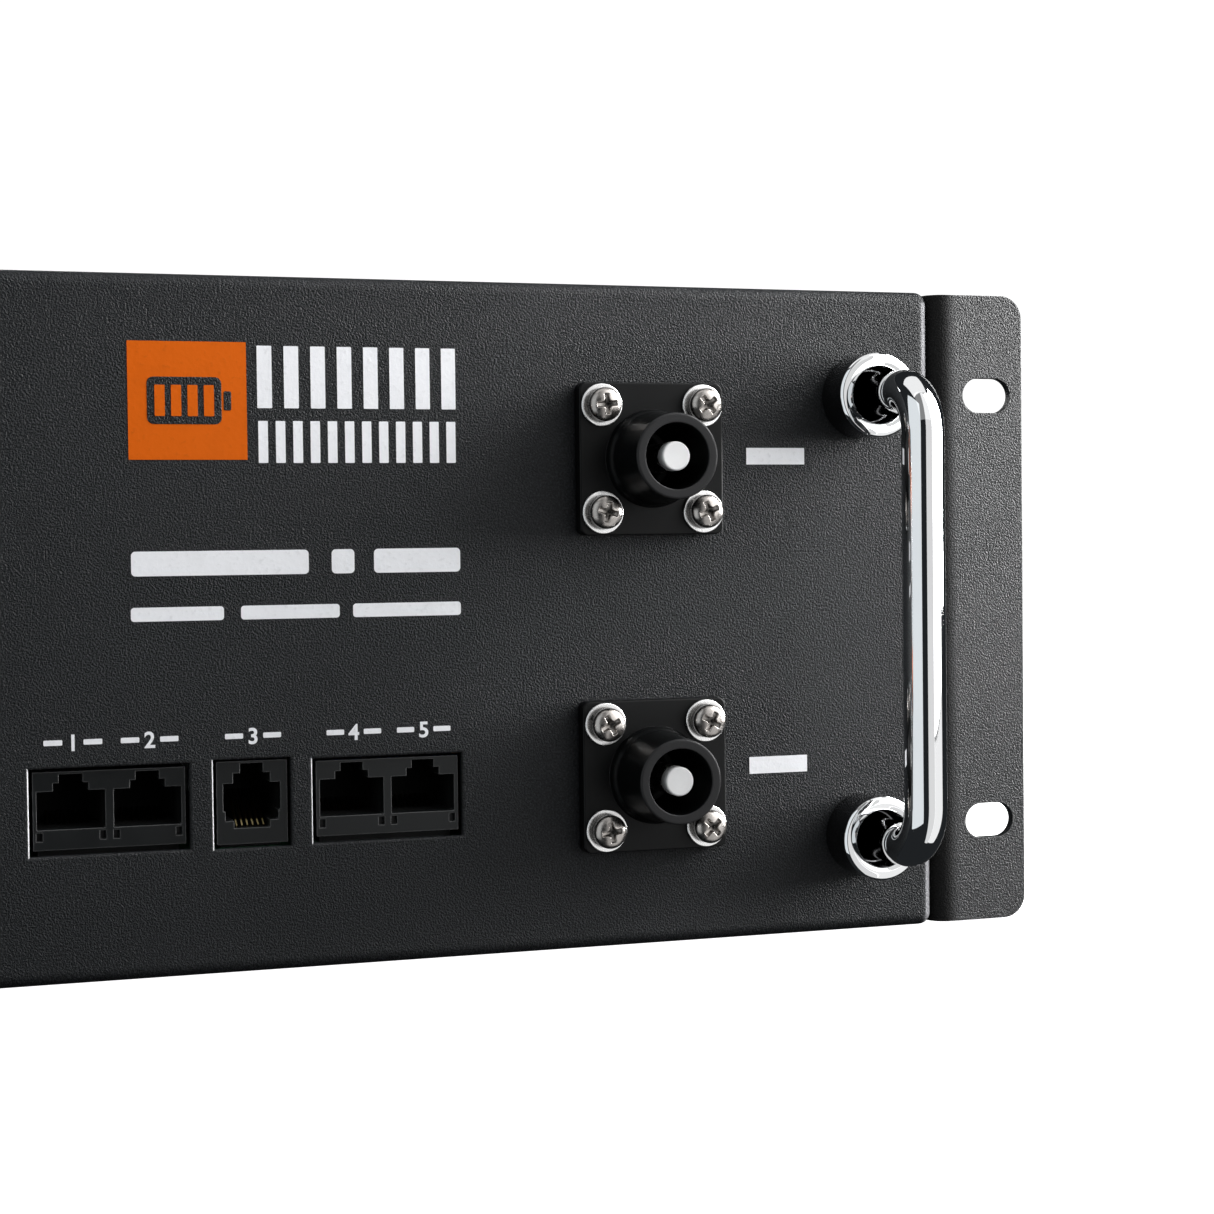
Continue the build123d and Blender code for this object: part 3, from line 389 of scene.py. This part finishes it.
def circuit_board():
    """Green solder mask over copper tracks."""
    look = Look("circuit_board", (0.012, 0.07, 0.03), 0.32)
    tracks = look.node("ShaderNodeTexBrick", offset=0.5, squash=0.6)
    tracks.inputs["Scale"].default_value = 160
    tracks.inputs["Mortar Size"].default_value = 0.012
    look.join(look.place, tracks.inputs["Vector"])
    look.tint(look.maths("SUBTRACT", 1.0, tracks.outputs["Fac"]), (0.02, 0.12, 0.05), 0.6)
    look.tint(look.spread(look.cells(4.5), 0.0, 0.12, 1, 0), (0.55, 0.5, 0.35), 0.8)
    look.polish(look.noise(6), 0.1)
    look.bump(tracks.outputs["Fac"], 0.03, 0.4)
    return look.done()


def shrink_film():
    """Blue shrink film over a cell, with fine stretch lines."""
    look = Look("cell_wrap", (0.015, 0.08, 0.26), 0.28)
    lines = look.noise(4, detail=4, stretch=(1, 1, 0.15))
    look.tint(look.spread(lines, 0.45, 0.7), (0.01, 0.05, 0.18), 0.6)
    look.polish(lines, 0.12)
    look.soften(0.5)
    look.bump(lines, 0.15, 0.4)
    return look.done()


def sheet_stock(name, colour):
    """Woven glass-epoxy or amber film."""
    look = Look(name, colour, 0.42)
    weave = look.node("ShaderNodeTexWave", wave_type="BANDS", bands_direction="DIAGONAL")
    weave.inputs["Scale"].default_value = 400
    look.join(look.place, weave.inputs["Vector"])
    look.tint(weave.outputs["Fac"], dimmed(colour, 0.8), 0.5)
    look.tint(look.spread(look.noise(15, detail=4), 0.4, 0.7), dimmed(colour, 0.7), 0.5)
    look.polish(look.noise(4), 0.12)
    look.bump(weave.outputs["Fac"], 0.03, 0.3)
    return look.done()


def light_pipe():
    """Frosted clear acrylic."""
    look = Look("light_pipe", (0.62, 0.68, 0.66), 0.3)
    look.tint(look.spread(look.noise(0.8), 0.4, 0.7), (0.5, 0.56, 0.54), 0.6)
    look.bump(look.noise(0.4), 0.03, 0.4)
    return look.done(Transmission_Weight=0.35, IOR=1.49)


def turned_cap():
    """Brushed metal of the power button."""
    look = Look("button_cap", (0.58, 0.58, 0.59), 0.3, 1.0)
    lines = look.noise(0.25, detail=3, stretch=(0.08, 1, 1))
    look.tint(lines, (0.4, 0.4, 0.41), 0.5)
    look.polish(lines, 0.2)
    look.bump(lines, 0.01, 0.4)
    return look.done()


# The finish of each material slot of the record.
LOOKS = {
    "panel_coat": powder_coat("panel_coat", COAT, painted_edge_highlight=True),
    "case_coat": powder_coat("case_coat", COAT, 0.1, roughness=0.68, ior=1.2),
    "plated_steel": plated_steel("plated_steel", (0.56, 0.56, 0.54), 0.34),
    "chrome_rod": polished_chrome("polished_chrome"),
    "screw_steel": plated_steel("screw_steel", (0.46, 0.44, 0.42), 0.24),
    "dark_screw": plated_steel("dark_screw", (0.05, 0.05, 0.05), 0.4),
    "black_socket": socket_plastic("black_socket", (0.002, 0.0023, 0.0025), (0.022, 0.022, 0.023), 0.16),
    "orange_socket": socket_plastic("orange_socket", (0.62, 0.13, 0.008), (0.68, 0.17, 0.02), 0.4),
    "silver_contact": plated_steel("silver_contact", (0.88, 0.87, 0.84), 0.18),
    "white_cap": moulded("white_cap", (0.9, 0.9, 0.9), 0.5, 0.3, 0.1),
    # The jack plastic's strong pale edges are painted highlight as well as wear.
    "jack_plastic": moulded(
        "jack_plastic", (0.005, 0.006, 0.0065), 0.34, 0.25, 0.22, 0.3, 1.0, PORT_INSIDE_SHADE
    ),
    "gold_contact": spring_gold(),
    "circuit_board": circuit_board(),
    "component_black": moulded("component_black", (0.02, 0.02, 0.02), 0.5),
    "bare_aluminium": bare_metal("bare_aluminium", (0.75, 0.75, 0.76), 0.3, (0.05, 1, 1)),
    "ribbon_film": sheet_stock("ribbon_film", (0.5, 0.22, 0.03)),
    "breaker_plastic": moulded("breaker_plastic", (0.3, 0.3, 0.295), 0.45, 0.5),
    "toggle_plastic": moulded("toggle_plastic", (0.014, 0.014, 0.015), 0.3),
    "button_metal": plated_steel("button_metal", (0.7, 0.69, 0.67), 0.2),
    "button_cap": turned_cap(),
    "reset_plastic": moulded("reset_plastic", (0.6, 0.6, 0.58), 0.45),
    "dip_plastic": moulded("dip_plastic", (0.02, 0.07, 0.3), 0.35, 0.25, 0.12),
    "dip_lever": moulded("dip_lever", (0.75, 0.75, 0.75), 0.35, 0.25, 0.1),
    "light_pipe": light_pipe(),
    "copper_bar": bare_metal("copper_bar", (0.8, 0.36, 0.2), 0.28, (1, 1, 0.05)),
    "cell_wrap": shrink_film(),
    "insulation_sheet": sheet_stock("insulation_sheet", (0.42, 0.45, 0.26)),
    "end_plate": bare_metal("end_plate", (0.7, 0.7, 0.7), 0.38, (1, 0.05, 1)),
}
for entry in RECORD["subparts"]:
    node = NODES[entry["node"]]
    for index in range(len(node.material_slots)):
        node.material_slots[index].material = LOOKS[entry["material_slot"]]

# Finishes of single pieces that differ from their slot's.
LOOKS["collar_chrome_painted_dark_side"] = polished_chrome("collar_chrome_painted_dark_side", COLLAR_SIDE_SHADE)
LOOKS["washer_steel"] = washer_steel()
LOOKS["driven_screw"] = driven_screw()
# The ears' coat is a lighter copy of the panel's, painted light for the brighter light on the ears.
LOOKS["ear_coat_painted_lit"] = powder_coat("ear_coat_painted_lit", LIT_EAR_COAT, 0.33, shaded_fold=EAR_FOLD_SHADE)
for name in ("rack_ear_left", "rack_ear_right"):
    NODES[name].material_slots[0].material = LOOKS["ear_coat_painted_lit"]
WHITE_INK = printed_ink("white_ink", (0.84, 0.845, 0.87))
ORANGE_INK = printed_ink("orange_ink", (0.64, 0.109, 0.001), 0.14)

# ---------------------------------------------------------------- printed marks

INK = 0.04  # thickness of one layer, in millimetres


def rounded_rectangle(x, z, radius, steps=5):
    """Outline of a rounded rectangle, in millimetres."""
    radius = min(radius, (x[1] - x[0]) / 2, (z[1] - z[0]) / 2)
    corners = ((x[1] - radius, z[1] - radius), (x[0] + radius, z[1] - radius))
    corners += ((x[0] + radius, z[0] + radius), (x[1] - radius, z[0] + radius))
    points = []
    for quarter, (cx, cz) in enumerate(corners):
        for step in range(steps + 1):
            angle = (quarter + step / steps) * math.pi / 2
            points.append((cx + radius * math.cos(angle), cz + radius * math.sin(angle)))
    return points


def show(name, mesh, look, body="case"):
    """Put a finished mesh in the scene, riding on a body."""
    piece = bpy.data.objects.new(name, mesh)
    mesh.materials.append(look)
    bpy.context.scene.collection.objects.link(piece)
    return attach(piece, body)


def ink_film(name, outlines, look, layer=1):
    """Thin film of ink on the front panel, one patch for each outline."""
    mesh = bpy.data.meshes.new(name)
    shape = bmesh.new()
    for outline in outlines:
        back = [shape.verts.new(at(x, 0, z)) for x, z in outline]
        front = [shape.verts.new(at(x, -INK * layer, z)) for x, z in outline]
        shape.faces.new(front)
        for i in range(len(outline)):
            j = (i + 1) % len(outline)
            shape.faces.new((back[i], back[j], front[j], front[i]))
    bmesh.ops.recalc_face_normals(shape, faces=shape.faces)
    shape.to_mesh(mesh)
    shape.free()
    return show(name, mesh, look)


def bars(x, z, count, share, radius=0.15):
    """Evenly spaced upright bars that fill a span; share is the inked part of the pitch."""
    pitch = (x[1] - x[0]) / (count - 1 + share)
    for i in range(count):
        left = x[0] + i * pitch
        yield rounded_rectangle((left, left + pitch * share), z, radius)


def patches(xs, z, radius):
    """Rounded rectangles of one height beside each other."""
    return [rounded_rectangle(x, z, radius) for x in xs]


TILE = rounded_rectangle((56.3, 78.3), (96.8, 118.8), 0.05)
BATTERY = rounded_rectangle((59.8, 73.6), (103.4, 112.2), 1.2)
BATTERY_POLE = rounded_rectangle((74.0, 75.4), (106.0, 109.6), 0.3)
NAME_WORDS = ((56.4, 89.6), (94.0, 98.4), (102.2, 119.2))
RATING_WORDS = ((56.2, 73.4), (76.6, 95.4), (98.0, 119.2))
SIGN_ZS = ((95.86, 99.2), (33.3, 36.7))  # the strokes of the minus signs
UPRIGHT_ZS = ((91.2, 103.86), (28.67, 41.33))
ink_film("orange_tile", [TILE], ORANGE_INK)
ink_film("battery_sign", [BATTERY, BATTERY_POLE], LOOKS["panel_coat"], 2)
ink_film("battery_sign_levels", bars((61.2, 72.2), (104.9, 110.7), 4, 0.62), ORANGE_INK, 3)
ink_film("title_bars_upper", bars((80.3, 118.7), (106.5, 118.2), 8, 0.55), WHITE_INK)
ink_film("title_bars_lower", bars((80.4, 118.6), (96.2, 104.1), 12, 0.55), WHITE_INK)
ink_film("name_bars", patches(NAME_WORDS, (75.2, 79.8), 0.8), WHITE_INK)
ink_film("rating_bars", patches(RATING_WORDS, (66.8, 69.4), 0.6), WHITE_INK)
for name, x, heights in (
    ("minus_marks", (179.0, 191.65), SIGN_ZS),
    ("plus_marks", (-191.65, -179.0), SIGN_ZS),
    ("plus_mark_uprights", (-186.97, -183.67), UPRIGHT_ZS),
):
    ink_film(name, [rounded_rectangle(x, z, 0.05) for z in heights], WHITE_INK)


PORT_XS = (45.3, 59.25, 78.5, 97.8, 111.5)
NUMBERS_Z = 43.4
DASH = 3.4
DASH_OFFSET = 3.6


def numeral(name, digit, x, z, height):
    """A plain figure printed on the panel, with a short bar on each side."""
    curve = bpy.data.curves.new(name, "FONT")
    curve.body = digit
    curve.size = height * 1.4 * MM
    curve.offset = 0.09 * MM
    curve.extrude = INK * MM / 2
    curve.align_x = "CENTER"
    maker = bpy.data.objects.new(name + "_maker", curve)
    bpy.context.scene.collection.objects.link(maker)
    bpy.context.view_layer.update()
    mesh = bpy.data.meshes.new_from_object(maker)
    bpy.data.objects.remove(maker)
    mesh.transform(Matrix.Translation(at(x, -INK / 2, z)) @ Matrix.Rotation(math.pi / 2, 4, "X"))
    show(name, mesh, WHITE_INK)
    dashes = [(x + middle - DASH / 2, x + middle + DASH / 2) for middle in (-DASH_OFFSET, DASH_OFFSET)]
    ink_film(name + "_dashes", patches(dashes, (z + 1.0, z + 2.0), 0.2), WHITE_INK)


for index, x in enumerate(PORT_XS, start=1):
    numeral("port_number_" + str(index), str(index), x, NUMBERS_Z, 3.0)

# ---------------------------------------------------------------- turned and moulded pieces


def rounded_path(corners, steps=5):
    """Closed path in a plane through corners (u, v, radius), with each corner rounded."""
    points = []
    for i, (u, v, radius) in enumerate(corners):
        here = Vector((u, v))
        before = (Vector(corners[i - 1][:2]) - here).normalized()
        after = (Vector(corners[(i + 1) % len(corners)][:2]) - here).normalized()
        if radius == 0:
            points.append(here)
            continue
        half = before.angle(after) / 2
        centre = here + (before + after).normalized() * (radius / math.sin(half))
        reach = radius / math.tan(half)
        first, last = here + before * reach - centre, here + after * reach - centre
        start = math.atan2(first.y, first.x)
        turn = math.remainder(math.atan2(last.y, last.x) - start, 2 * math.pi)
        for step in range(steps + 1):
            angle = start + turn * step / steps
            points.append(centre + Vector((math.cos(angle), math.sin(angle))) * radius)
    return points


def circle(radius, count):
    """Points (x, z) of a circle, counted so that they match a rounded square's points."""
    for i in range(count):
        angle = (i + 0.5) * 2 * math.pi / count
        yield radius * math.cos(angle), radius * math.sin(angle)


def ring(shape, centre, points, depth):
    """Vertices of one loop of points around a centre, at one depth."""
    return [shape.verts.new(at(centre[0] + x, depth, centre[1] + z)) for x, z in points]


def skin(shape, rings, closed=False):
    """Faces between loops that follow each other; closed joins the last one to the first."""
    pairs = list(zip(rings, rings[1:]))
    if closed:
        pairs.append((rings[-1], rings[0]))
    for low, high in pairs:
        count = len(low)
        for i in range(count):
            j = (i + 1) % count
            shape.faces.new((low[i], low[j], high[j], high[i]))


def lathe(shape, centre, profile, segments=72):
    """Turn a closed profile of (radius, depth) points about an axis through the panel."""
    rings = [ring(shape, centre, circle(radius, segments), depth) for radius, depth in profile]
    skin(shape, rings, closed=True)


def finished(name, shape, look, slot, *nodes):
    """Make a smooth piece of the mesh with the given look; it stands for CAD nodes, which are hidden."""
    bmesh.ops.recalc_face_normals(shape, faces=shape.faces)
    for face in shape.faces:
        face.smooth = True
    mesh = bpy.data.meshes.new(name)
    shape.to_mesh(mesh)
    shape.free()
    piece = show(name, mesh, look)
    weigh = piece.modifiers.new("even_shading", "WEIGHTED_NORMAL")
    weigh.keep_sharp = True
    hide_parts(*nodes)
    return piece


# Sizes of the pieces in millimetres, as in the CAD. A depth in front of the panel is negative.
HANDLE_X = 204.2
HANDLE_ZS = (20.0, 109.5)
ROD_RADIUS = 4.2
STANDOFF = 28.7
BEND = 8.5  # radius of the bar's bends, along its middle


def bow_handle(name, side, node):
    """Round bar bent twice, from the panel out and back again."""
    shape = bmesh.new()
    low, high = HANDLE_ZS
    path = [(0.0, low, -1, 0)]
    steps = 20
    for step in range(steps + 1):
        angle = step / steps * math.pi / 2
        depth = BEND - STANDOFF - BEND * math.sin(angle)
        path.append((depth, low + BEND - BEND * math.cos(angle), -math.cos(angle), math.sin(angle)))
    for step in range(steps + 1):
        angle = step / steps * math.pi / 2
        depth = BEND - STANDOFF - BEND * math.cos(angle)
        path.append((depth, high - BEND + BEND * math.sin(angle), math.sin(angle), math.cos(angle)))
    path.append((0.0, high, 1, 0))
    rings = []
    for depth, z, along_depth, along_z in path:
        loop = []
        for out, across in circle(ROD_RADIUS, 56):
            place = at(side * HANDLE_X + across, depth - out * along_z, z + out * along_depth)
            loop.append(shape.verts.new(place))
        rings.append(loop)
    skin(shape, rings)
    shape.faces.new(rings[0])
    shape.faces.new(rings[-1])
    return finished(name, shape, LOOKS["chrome_rod"], "chrome_rod", node)


COLLAR_RADIUS = 8.5
COLLAR_BORE = 4.22
COLLAR_FRONT = -9.75
CUP_RADIUS = 5.75
CUP_FLOOR = -4.75
DOME_RADIUS = 4.6
DOME_EDGE = 8.1


def handle_collars():
    """Turned collars, each with a slightly domed face and a cup around the bar."""
    shape = bmesh.new()
    profile = [(COLLAR_BORE, -0.01), (8.3, -0.01), (8.44, -0.06), (COLLAR_RADIUS, -0.2)]
    profile += [(COLLAR_RADIUS, -9.1), (8.47, -9.2), (8.4, -9.29), (8.3, -9.37)]
    middle = (DOME_EDGE + CUP_RADIUS + 0.15) / 2
    reach = math.asin((DOME_EDGE - middle) / DOME_RADIUS)
    for step in range(13):
        tilt = reach * (1 - step / 6)
        depth = COLLAR_FRONT + DOME_RADIUS * (1 - math.cos(tilt))
        profile.append((middle + DOME_RADIUS * math.sin(tilt), depth))
    profile += [(CUP_RADIUS + 0.04, -9.48), (CUP_RADIUS, -9.36), (CUP_RADIUS, -5.2), (5.6, -4.85)]
    profile += [(5.2, CUP_FLOOR), (COLLAR_BORE, CUP_FLOOR)]
    for side in (-1, 1):
        for z in HANDLE_ZS:
            lathe(shape, (side * HANDLE_X, z), profile, 112)
    look = LOOKS["collar_chrome_painted_dark_side"]
    return finished("handle_collars_turned", shape, look, "chrome_rod", "handle_collars")


SOCKET_X = 157.8
SOCKET_ZS = (34.3, 96.9)
FLANGE = 30.0
FLANGE_CORNER = 1.6
FLANGE_FRONT = -3.0
SCREW_HALF_PITCH = 10.5
STUD_HOLE = 5.05
SPIGOT = 9.6
BARREL_RIM = 7.8  # middle of the rounded rim, which has a radius of 0.5
BARREL_BORE = 6.4


def rounded_square(width, radius, steps):
    """Points (x, z) of a rounded square, in the same order as circle()."""
    half = width / 2
    corners = [(half, half, radius), (-half, half, radius), (-half, -half, radius), (half, -half, radius)]
    return rounded_path(corners, steps)


def socket_housing(name, centre, look, slot, node):
    """Flange, foot, barrel, rim and bore of a power socket in one closed skin."""
    shape = bmesh.new()
    steps = 23
    count = 4 * (steps + 1)
    spigot = ((STUD_HOLE, 28), (SPIGOT, 28), (SPIGOT, 0.02))
    rings = [ring(shape, centre, circle(radius, count), depth) for radius, depth in spigot]
    flange = [(0, 0.02), (0, -2.6), (0.05, -2.78), (0.14, -2.92), (0.28, -2.98), (0.45, FLANGE_FRONT)]
    for inset, depth in flange:
        outline = rounded_square(FLANGE - 2 * inset, FLANGE_CORNER - inset, steps)
        rings.append(ring(shape, centre, outline, depth))
    barrel = [(9.75, FLANGE_FRONT), (9.66, -3.08), (9.6, -3.25), (9.6, -4.2), (9.5, -4.75), (9.2, -5.3)]
    barrel += [(8.9, -5.6), (8.82, -6.2)]
    for step in range(7):
        angle = step / 6 * math.pi / 2
        barrel.append((BARREL_RIM + 0.5 * math.cos(angle), -17.25 - 0.5 * math.sin(angle)))
    barrel += [(6.62, -17.75), (6.52, -17.72), (6.44, -17.62), (BARREL_BORE, -17.5), (BARREL_BORE, 3.6)]
    barrel += [(6.3, 3.9), (6.0, 4.0), (3.45, 4.0), (3.45, 8.0), (STUD_HOLE, 8.0)]
    rings += [ring(shape, centre, circle(radius, count), depth) for radius, depth in barrel]
    skin(shape, rings, closed=True)
    return finished(name, shape, look, slot, node)


def screw_places():
    """Centre of every socket screw."""
    for side in (-1, 1):
        for z in SOCKET_ZS:
            for across in (-1, 1):
                for up in (-1, 1):
                    yield side * SOCKET_X + across * SCREW_HALF_PITCH, z + up * SCREW_HALF_PITCH


WASHER_FRONT = FLANGE_FRONT - 0.8
HEAD_BACK = WASHER_FRONT - 1.0
HEAD_RADIUS = 3.3
HEAD_RISE = 2.6  # height of the crown above the head's back
SIDE_RISE = 0.95
SHANK_RADIUS = 1.95
SHANK_LENGTH = 12.2


def flat_washers():
    """Plain washers with softened front edges."""
    shape = bmesh.new()
    corners = [(2.1, FLANGE_FRONT, 0), (4.2, FLANGE_FRONT, 0)]
    corners += [(4.2, WASHER_FRONT, 0.2), (2.1, WASHER_FRONT, 0.1)]
    for place in screw_places():
        lathe(shape, place, rounded_path(corners, 3), 72)
    look = LOOKS["washer_steel"]
    return finished("flat_washers", shape, look, "screw_steel", "socket_flat_washers")


def spring_washers():
    """Split rings with a slanting gap, their ends standing a little apart."""
    shape = bmesh.new()
    section = ((2.15, 0.0), (3.15, 0.0), (3.3, 0.15), (3.3, 0.8), (3.15, 0.95), (2.15, 0.95))
    half_gap = 0.14
    steps = 60
    for index, (x, z) in enumerate(screw_places()):
        turn = 2.4 * index
        rings = []
        for step in range(steps + 1):
            share = step / steps
            loop = []
            for radius, rise in section:
                slant = (rise - 0.5) * 0.22
                angle = turn + half_gap + share * (2 * math.pi - 2 * half_gap) + slant
                depth = WASHER_FRONT - rise - 0.05 * share
                place = at(x + radius * math.cos(angle), depth, z + radius * math.sin(angle))
                loop.append(shape.verts.new(place))
            rings.append(loop)
        skin(shape, rings)
        shape.faces.new(rings[0])
        shape.faces.new(rings[-1])
    look = LOOKS["driven_screw"]
    return finished("spring_washers", shape, look, "screw_steel", "socket_spring_washers")


def cross_distance(u, v):
    """How far a point lies outside the driver cross of a screw head, with soft inner corners."""
    reach, half_width, blend = 2.0, 0.47, 0.6
    first = max(abs(v) - half_width, abs(u) - reach)
    second = max(abs(u) - half_width, abs(v) - reach)
    mix = max(blend - abs(first - second), 0) / blend
    return min(first, second) - mix * mix * blend / 4


def pan_head(shape, centre, turn):
    """Domed screw head with a driver cross pressed into it."""

    def crown(radius):
        """Height of the dome above the head's back."""
        share = min(radius / HEAD_RADIUS, 1.0)
        return SIDE_RISE + (HEAD_RISE - SIDE_RISE) * (1 - share**2.2) ** (1 / 2.2)

    segments = 96
    crown_angles = (0.84, 0.93, 1.02, 1.11, 1.2, 1.29, 1.38, 1.47, math.pi / 2)
    radii = [0.1 * i for i in range(1, 24)]
    radii += [HEAD_RADIUS * math.sin(a) for a in crown_angles]
    tip = shape.verts.new(at(centre[0], HEAD_BACK - crown(0) + 1.5, centre[1]))
    rings = []
    for radius in radii:
        loop = []
        for x, z in circle(radius, segments):
            u = x * math.cos(turn) + z * math.sin(turn)
            v = z * math.cos(turn) - x * math.sin(turn)
            inside = min(max((0.05 - cross_distance(u, v)) / 0.17, 0), 1)
            sunk = inside * inside * (3 - 2 * inside) * (1.5 - 0.4 * radius)
            place = at(centre[0] + x, HEAD_BACK - crown(radius) + sunk, centre[1] + z)
            loop.append(shape.verts.new(place))
        rings.append(loop)
    behind = [(HEAD_RADIUS, -0.12), (HEAD_RADIUS - 0.12, 0)]
    behind += [(SHANK_RADIUS, 0), (SHANK_RADIUS, SHANK_LENGTH)]
    rings += [ring(shape, centre, circle(radius, segments), HEAD_BACK + back) for radius, back in behind]
    for i in range(segments):
        shape.faces.new((tip, rings[0][i], rings[0][(i + 1) % segments]))
    skin(shape, rings)
    shape.faces.new(rings[-1])


def socket_screws():
    """All the pan-head screws of the sockets, each turned differently."""
    shape = bmesh.new()
    for index, place in enumerate(screw_places()):
        pan_head(shape, place, 0.9 + 1.87 * index)
    look = LOOKS["driven_screw"]
    return finished("socket_screws_driven", shape, look, "screw_steel", "socket_screws")


def pin_caps():
    """White touch-safe tips of the contact pins."""
    shape = bmesh.new()
    profile = [(1.85, -16.1), (1.85, -14.3), (2.83, -14.3), (2.83, -16.6), (2.8, -16.76), (2.71, -16.89)]
    profile += [(2.58, -16.97), (2.45, -16.99)]
    for side in (-1, 1):
        for z in SOCKET_ZS:
            centre = (side * SOCKET_X, z)
            rings = [ring(shape, centre, circle(radius, 64), depth) for radius, depth in profile]
            skin(shape, rings)
            shape.faces.new(rings[0])
            shape.faces.new(rings[-1])
    return finished("pin_caps_moulded", shape, LOOKS["white_cap"], "white_cap", "socket_pin_caps")


bow_handle("bow_handle_right", 1, "handle_right")
bow_handle("bow_handle_left", -1, "handle_left")
handle_collars()
for pole, side, kind in (("positive", -1, "orange_socket"), ("negative", 1, "black_socket")):
    for level, z in zip(("lower", "upper"), SOCKET_ZS):
        node = pole + "_socket_" + level
        socket_housing(node + "_moulded", (side * SOCKET_X, z), LOOKS[kind], kind, node)
flat_washers()
spring_washers()
socket_screws()
pin_caps()

# ---------------------------------------------------------------- camera, lights and floor


def softbox(name, place, target, width, height, radiance, colour=(1, 1, 1)):
    """Soft panel light of an even brightness that the camera doesn't see."""
    lamp = bpy.data.lights.new(name, "AREA")
    lamp.shape = "RECTANGLE"
    lamp.size = width
    lamp.size_y = height
    lamp.energy = radiance * math.pi * width * height
    lamp.color = colour
    thing = bpy.data.objects.new(name, lamp)
    bpy.context.scene.collection.objects.link(thing)
    thing.location = place
    thing.visible_camera = False
    thing.rotation_euler = (Vector(target) - thing.location).to_track_quat("-Z", "Y").to_euler()


CAMERA_PLACE = at(7.29, -427.55, 80.46)
CAMERA_TURN = (18.343, 1.621, -0.681)  # right, down and clockwise, in degrees
CAMERA_LENS = 67.53


def studio_camera():
    """Camera close to the front, a little right of the middle, turned to the right."""
    yaw, pitch, roll = (math.radians(angle) for angle in CAMERA_TURN)
    ahead = Vector((math.sin(yaw) * math.cos(pitch), math.cos(yaw) * math.cos(pitch), -math.sin(pitch)))
    right = Vector((math.cos(yaw), -math.sin(yaw), 0))
    up = right.cross(ahead)
    rolled_right = right * math.cos(roll) + up * math.sin(roll)
    rolled_up = up * math.cos(roll) - right * math.sin(roll)
    data = bpy.data.cameras.new("studio_camera")
    data.lens = CAMERA_LENS
    data.sensor_width = 36
    data.clip_start = 0.01
    camera = bpy.data.objects.new("studio_camera", data)
    bpy.context.scene.collection.objects.link(camera)
    turned = Matrix((rolled_right, rolled_up, -ahead)).transposed().to_4x4()
    camera.matrix_world = Matrix.Translation(CAMERA_PLACE) @ turned
    bpy.context.scene.camera = camera


def light_path_mix(tree, seen, unseen):
    """Mix two shaders: one for what the camera sees directly, one for everything else."""
    ray = tree.nodes.new("ShaderNodeLightPath")
    mix = tree.nodes.new("ShaderNodeMixShader")
    tree.links.new(ray.outputs["Is Camera Ray"], mix.inputs[0])
    tree.links.new(unseen.outputs[0], mix.inputs[1])
    tree.links.new(seen.outputs[0], mix.inputs[2])
    return mix


def floor():
    """Large pale floor that the battery stands on."""
    mesh = bpy.data.meshes.new("floor")
    half = 6.0
    corners = [(-half, -half, 0), (half, -half, 0), (half, half, 0), (-half, half, 0)]
    mesh.from_pydata(corners, [], [(0, 1, 2, 3)])
    look = Look("floor_paint", (0.9, 0.9, 0.9), 0.85)
    look.tint(look.noise(60, detail=3), (0.87, 0.87, 0.87), 0.5)
    look.done(Emission_Color=(1, 1, 1, 1), Emission_Strength=1.15)
    shade = look.node("ShaderNodeBsdfDiffuse")
    shade.inputs["Color"].default_value = (0.07, 0.07, 0.07, 1)
    mix = light_path_mix(look.tree, look.shader, shade)
    look.join(mix.outputs[0], look.tree.nodes["Material Output"].inputs["Surface"])
    mesh.materials.append(look.mat)
    plane = bpy.data.objects.new("floor", mesh)
    bpy.context.scene.collection.objects.link(plane)
    plane.visible_glossy = False
    plane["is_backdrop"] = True


def studio_world():
    """White backdrop that lights the battery only faintly."""
    world = bpy.data.worlds.new("studio")
    world.use_nodes = True
    bpy.context.scene.world = world
    tree = world.node_tree
    backdrop = tree.nodes["Background"]
    backdrop.inputs["Color"].default_value = (1, 1, 1, 1)
    backdrop.inputs["Strength"].default_value = 1.1
    fill = tree.nodes.new("ShaderNodeBackground")
    fill.inputs["Color"].default_value = (0.8, 0.9, 1.0, 1)
    fill.inputs["Strength"].default_value = 0.02
    mix = light_path_mix(tree, backdrop, fill)
    tree.links.new(mix.outputs[0], tree.nodes["World Output"].inputs["Surface"])


studio_camera()
studio_world()
floor()
# Name, place, target, width, height, brightness and colour of each light.
SOFTBOXES = (
    ("near_right_softbox", (0.26, -0.62, 0.15), (0.22, -0.2, 0.145), 0.24, 2.3, 0.8),
    ("key_softbox", (0.68, -0.56, 0.60), (0.47, 0.0, 0.58), 0.60, 1.2, 2.8),
    ("key_low_softbox", (0.68, -0.56, -0.5), (0.47, 0.0, -0.5), 0.60, 1.0, 1.0),
    ("raking_softbox", (0.80, -0.31, 0.50), (0.2, -0.22, 0.48), 0.20, 0.9, 38.0),
    ("left_softbox", (-0.70, -0.525, 0.35), (0.08, -0.08, 0.34), 1.2, 1.8, 0.9, (0.92, 0.97, 1.0)),
    ("canopy_softbox", (0.1, -0.95, 0.95), (0.2, -0.2, 0.1), 1.2, 1.1, 0.25),
    ("top_softbox", (0.1, -0.1, 1.2), (0.1, 0.0, 0.0), 1.2, 0.9, 1.0),
    ("rear_softbox", (-0.6, 1.5, 0.6), (0.0, 0.2, 0.1), 1.6, 1.2, 6.0),
)
for row in SOFTBOXES:
    softbox(*row)
bpy.context.scene.view_settings.view_transform = "Standard"

boxes = {"cad_box": CAD_BOX, "visual_box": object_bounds()}
{name: [list(corner) for corner in box] for name, box in boxes.items()}
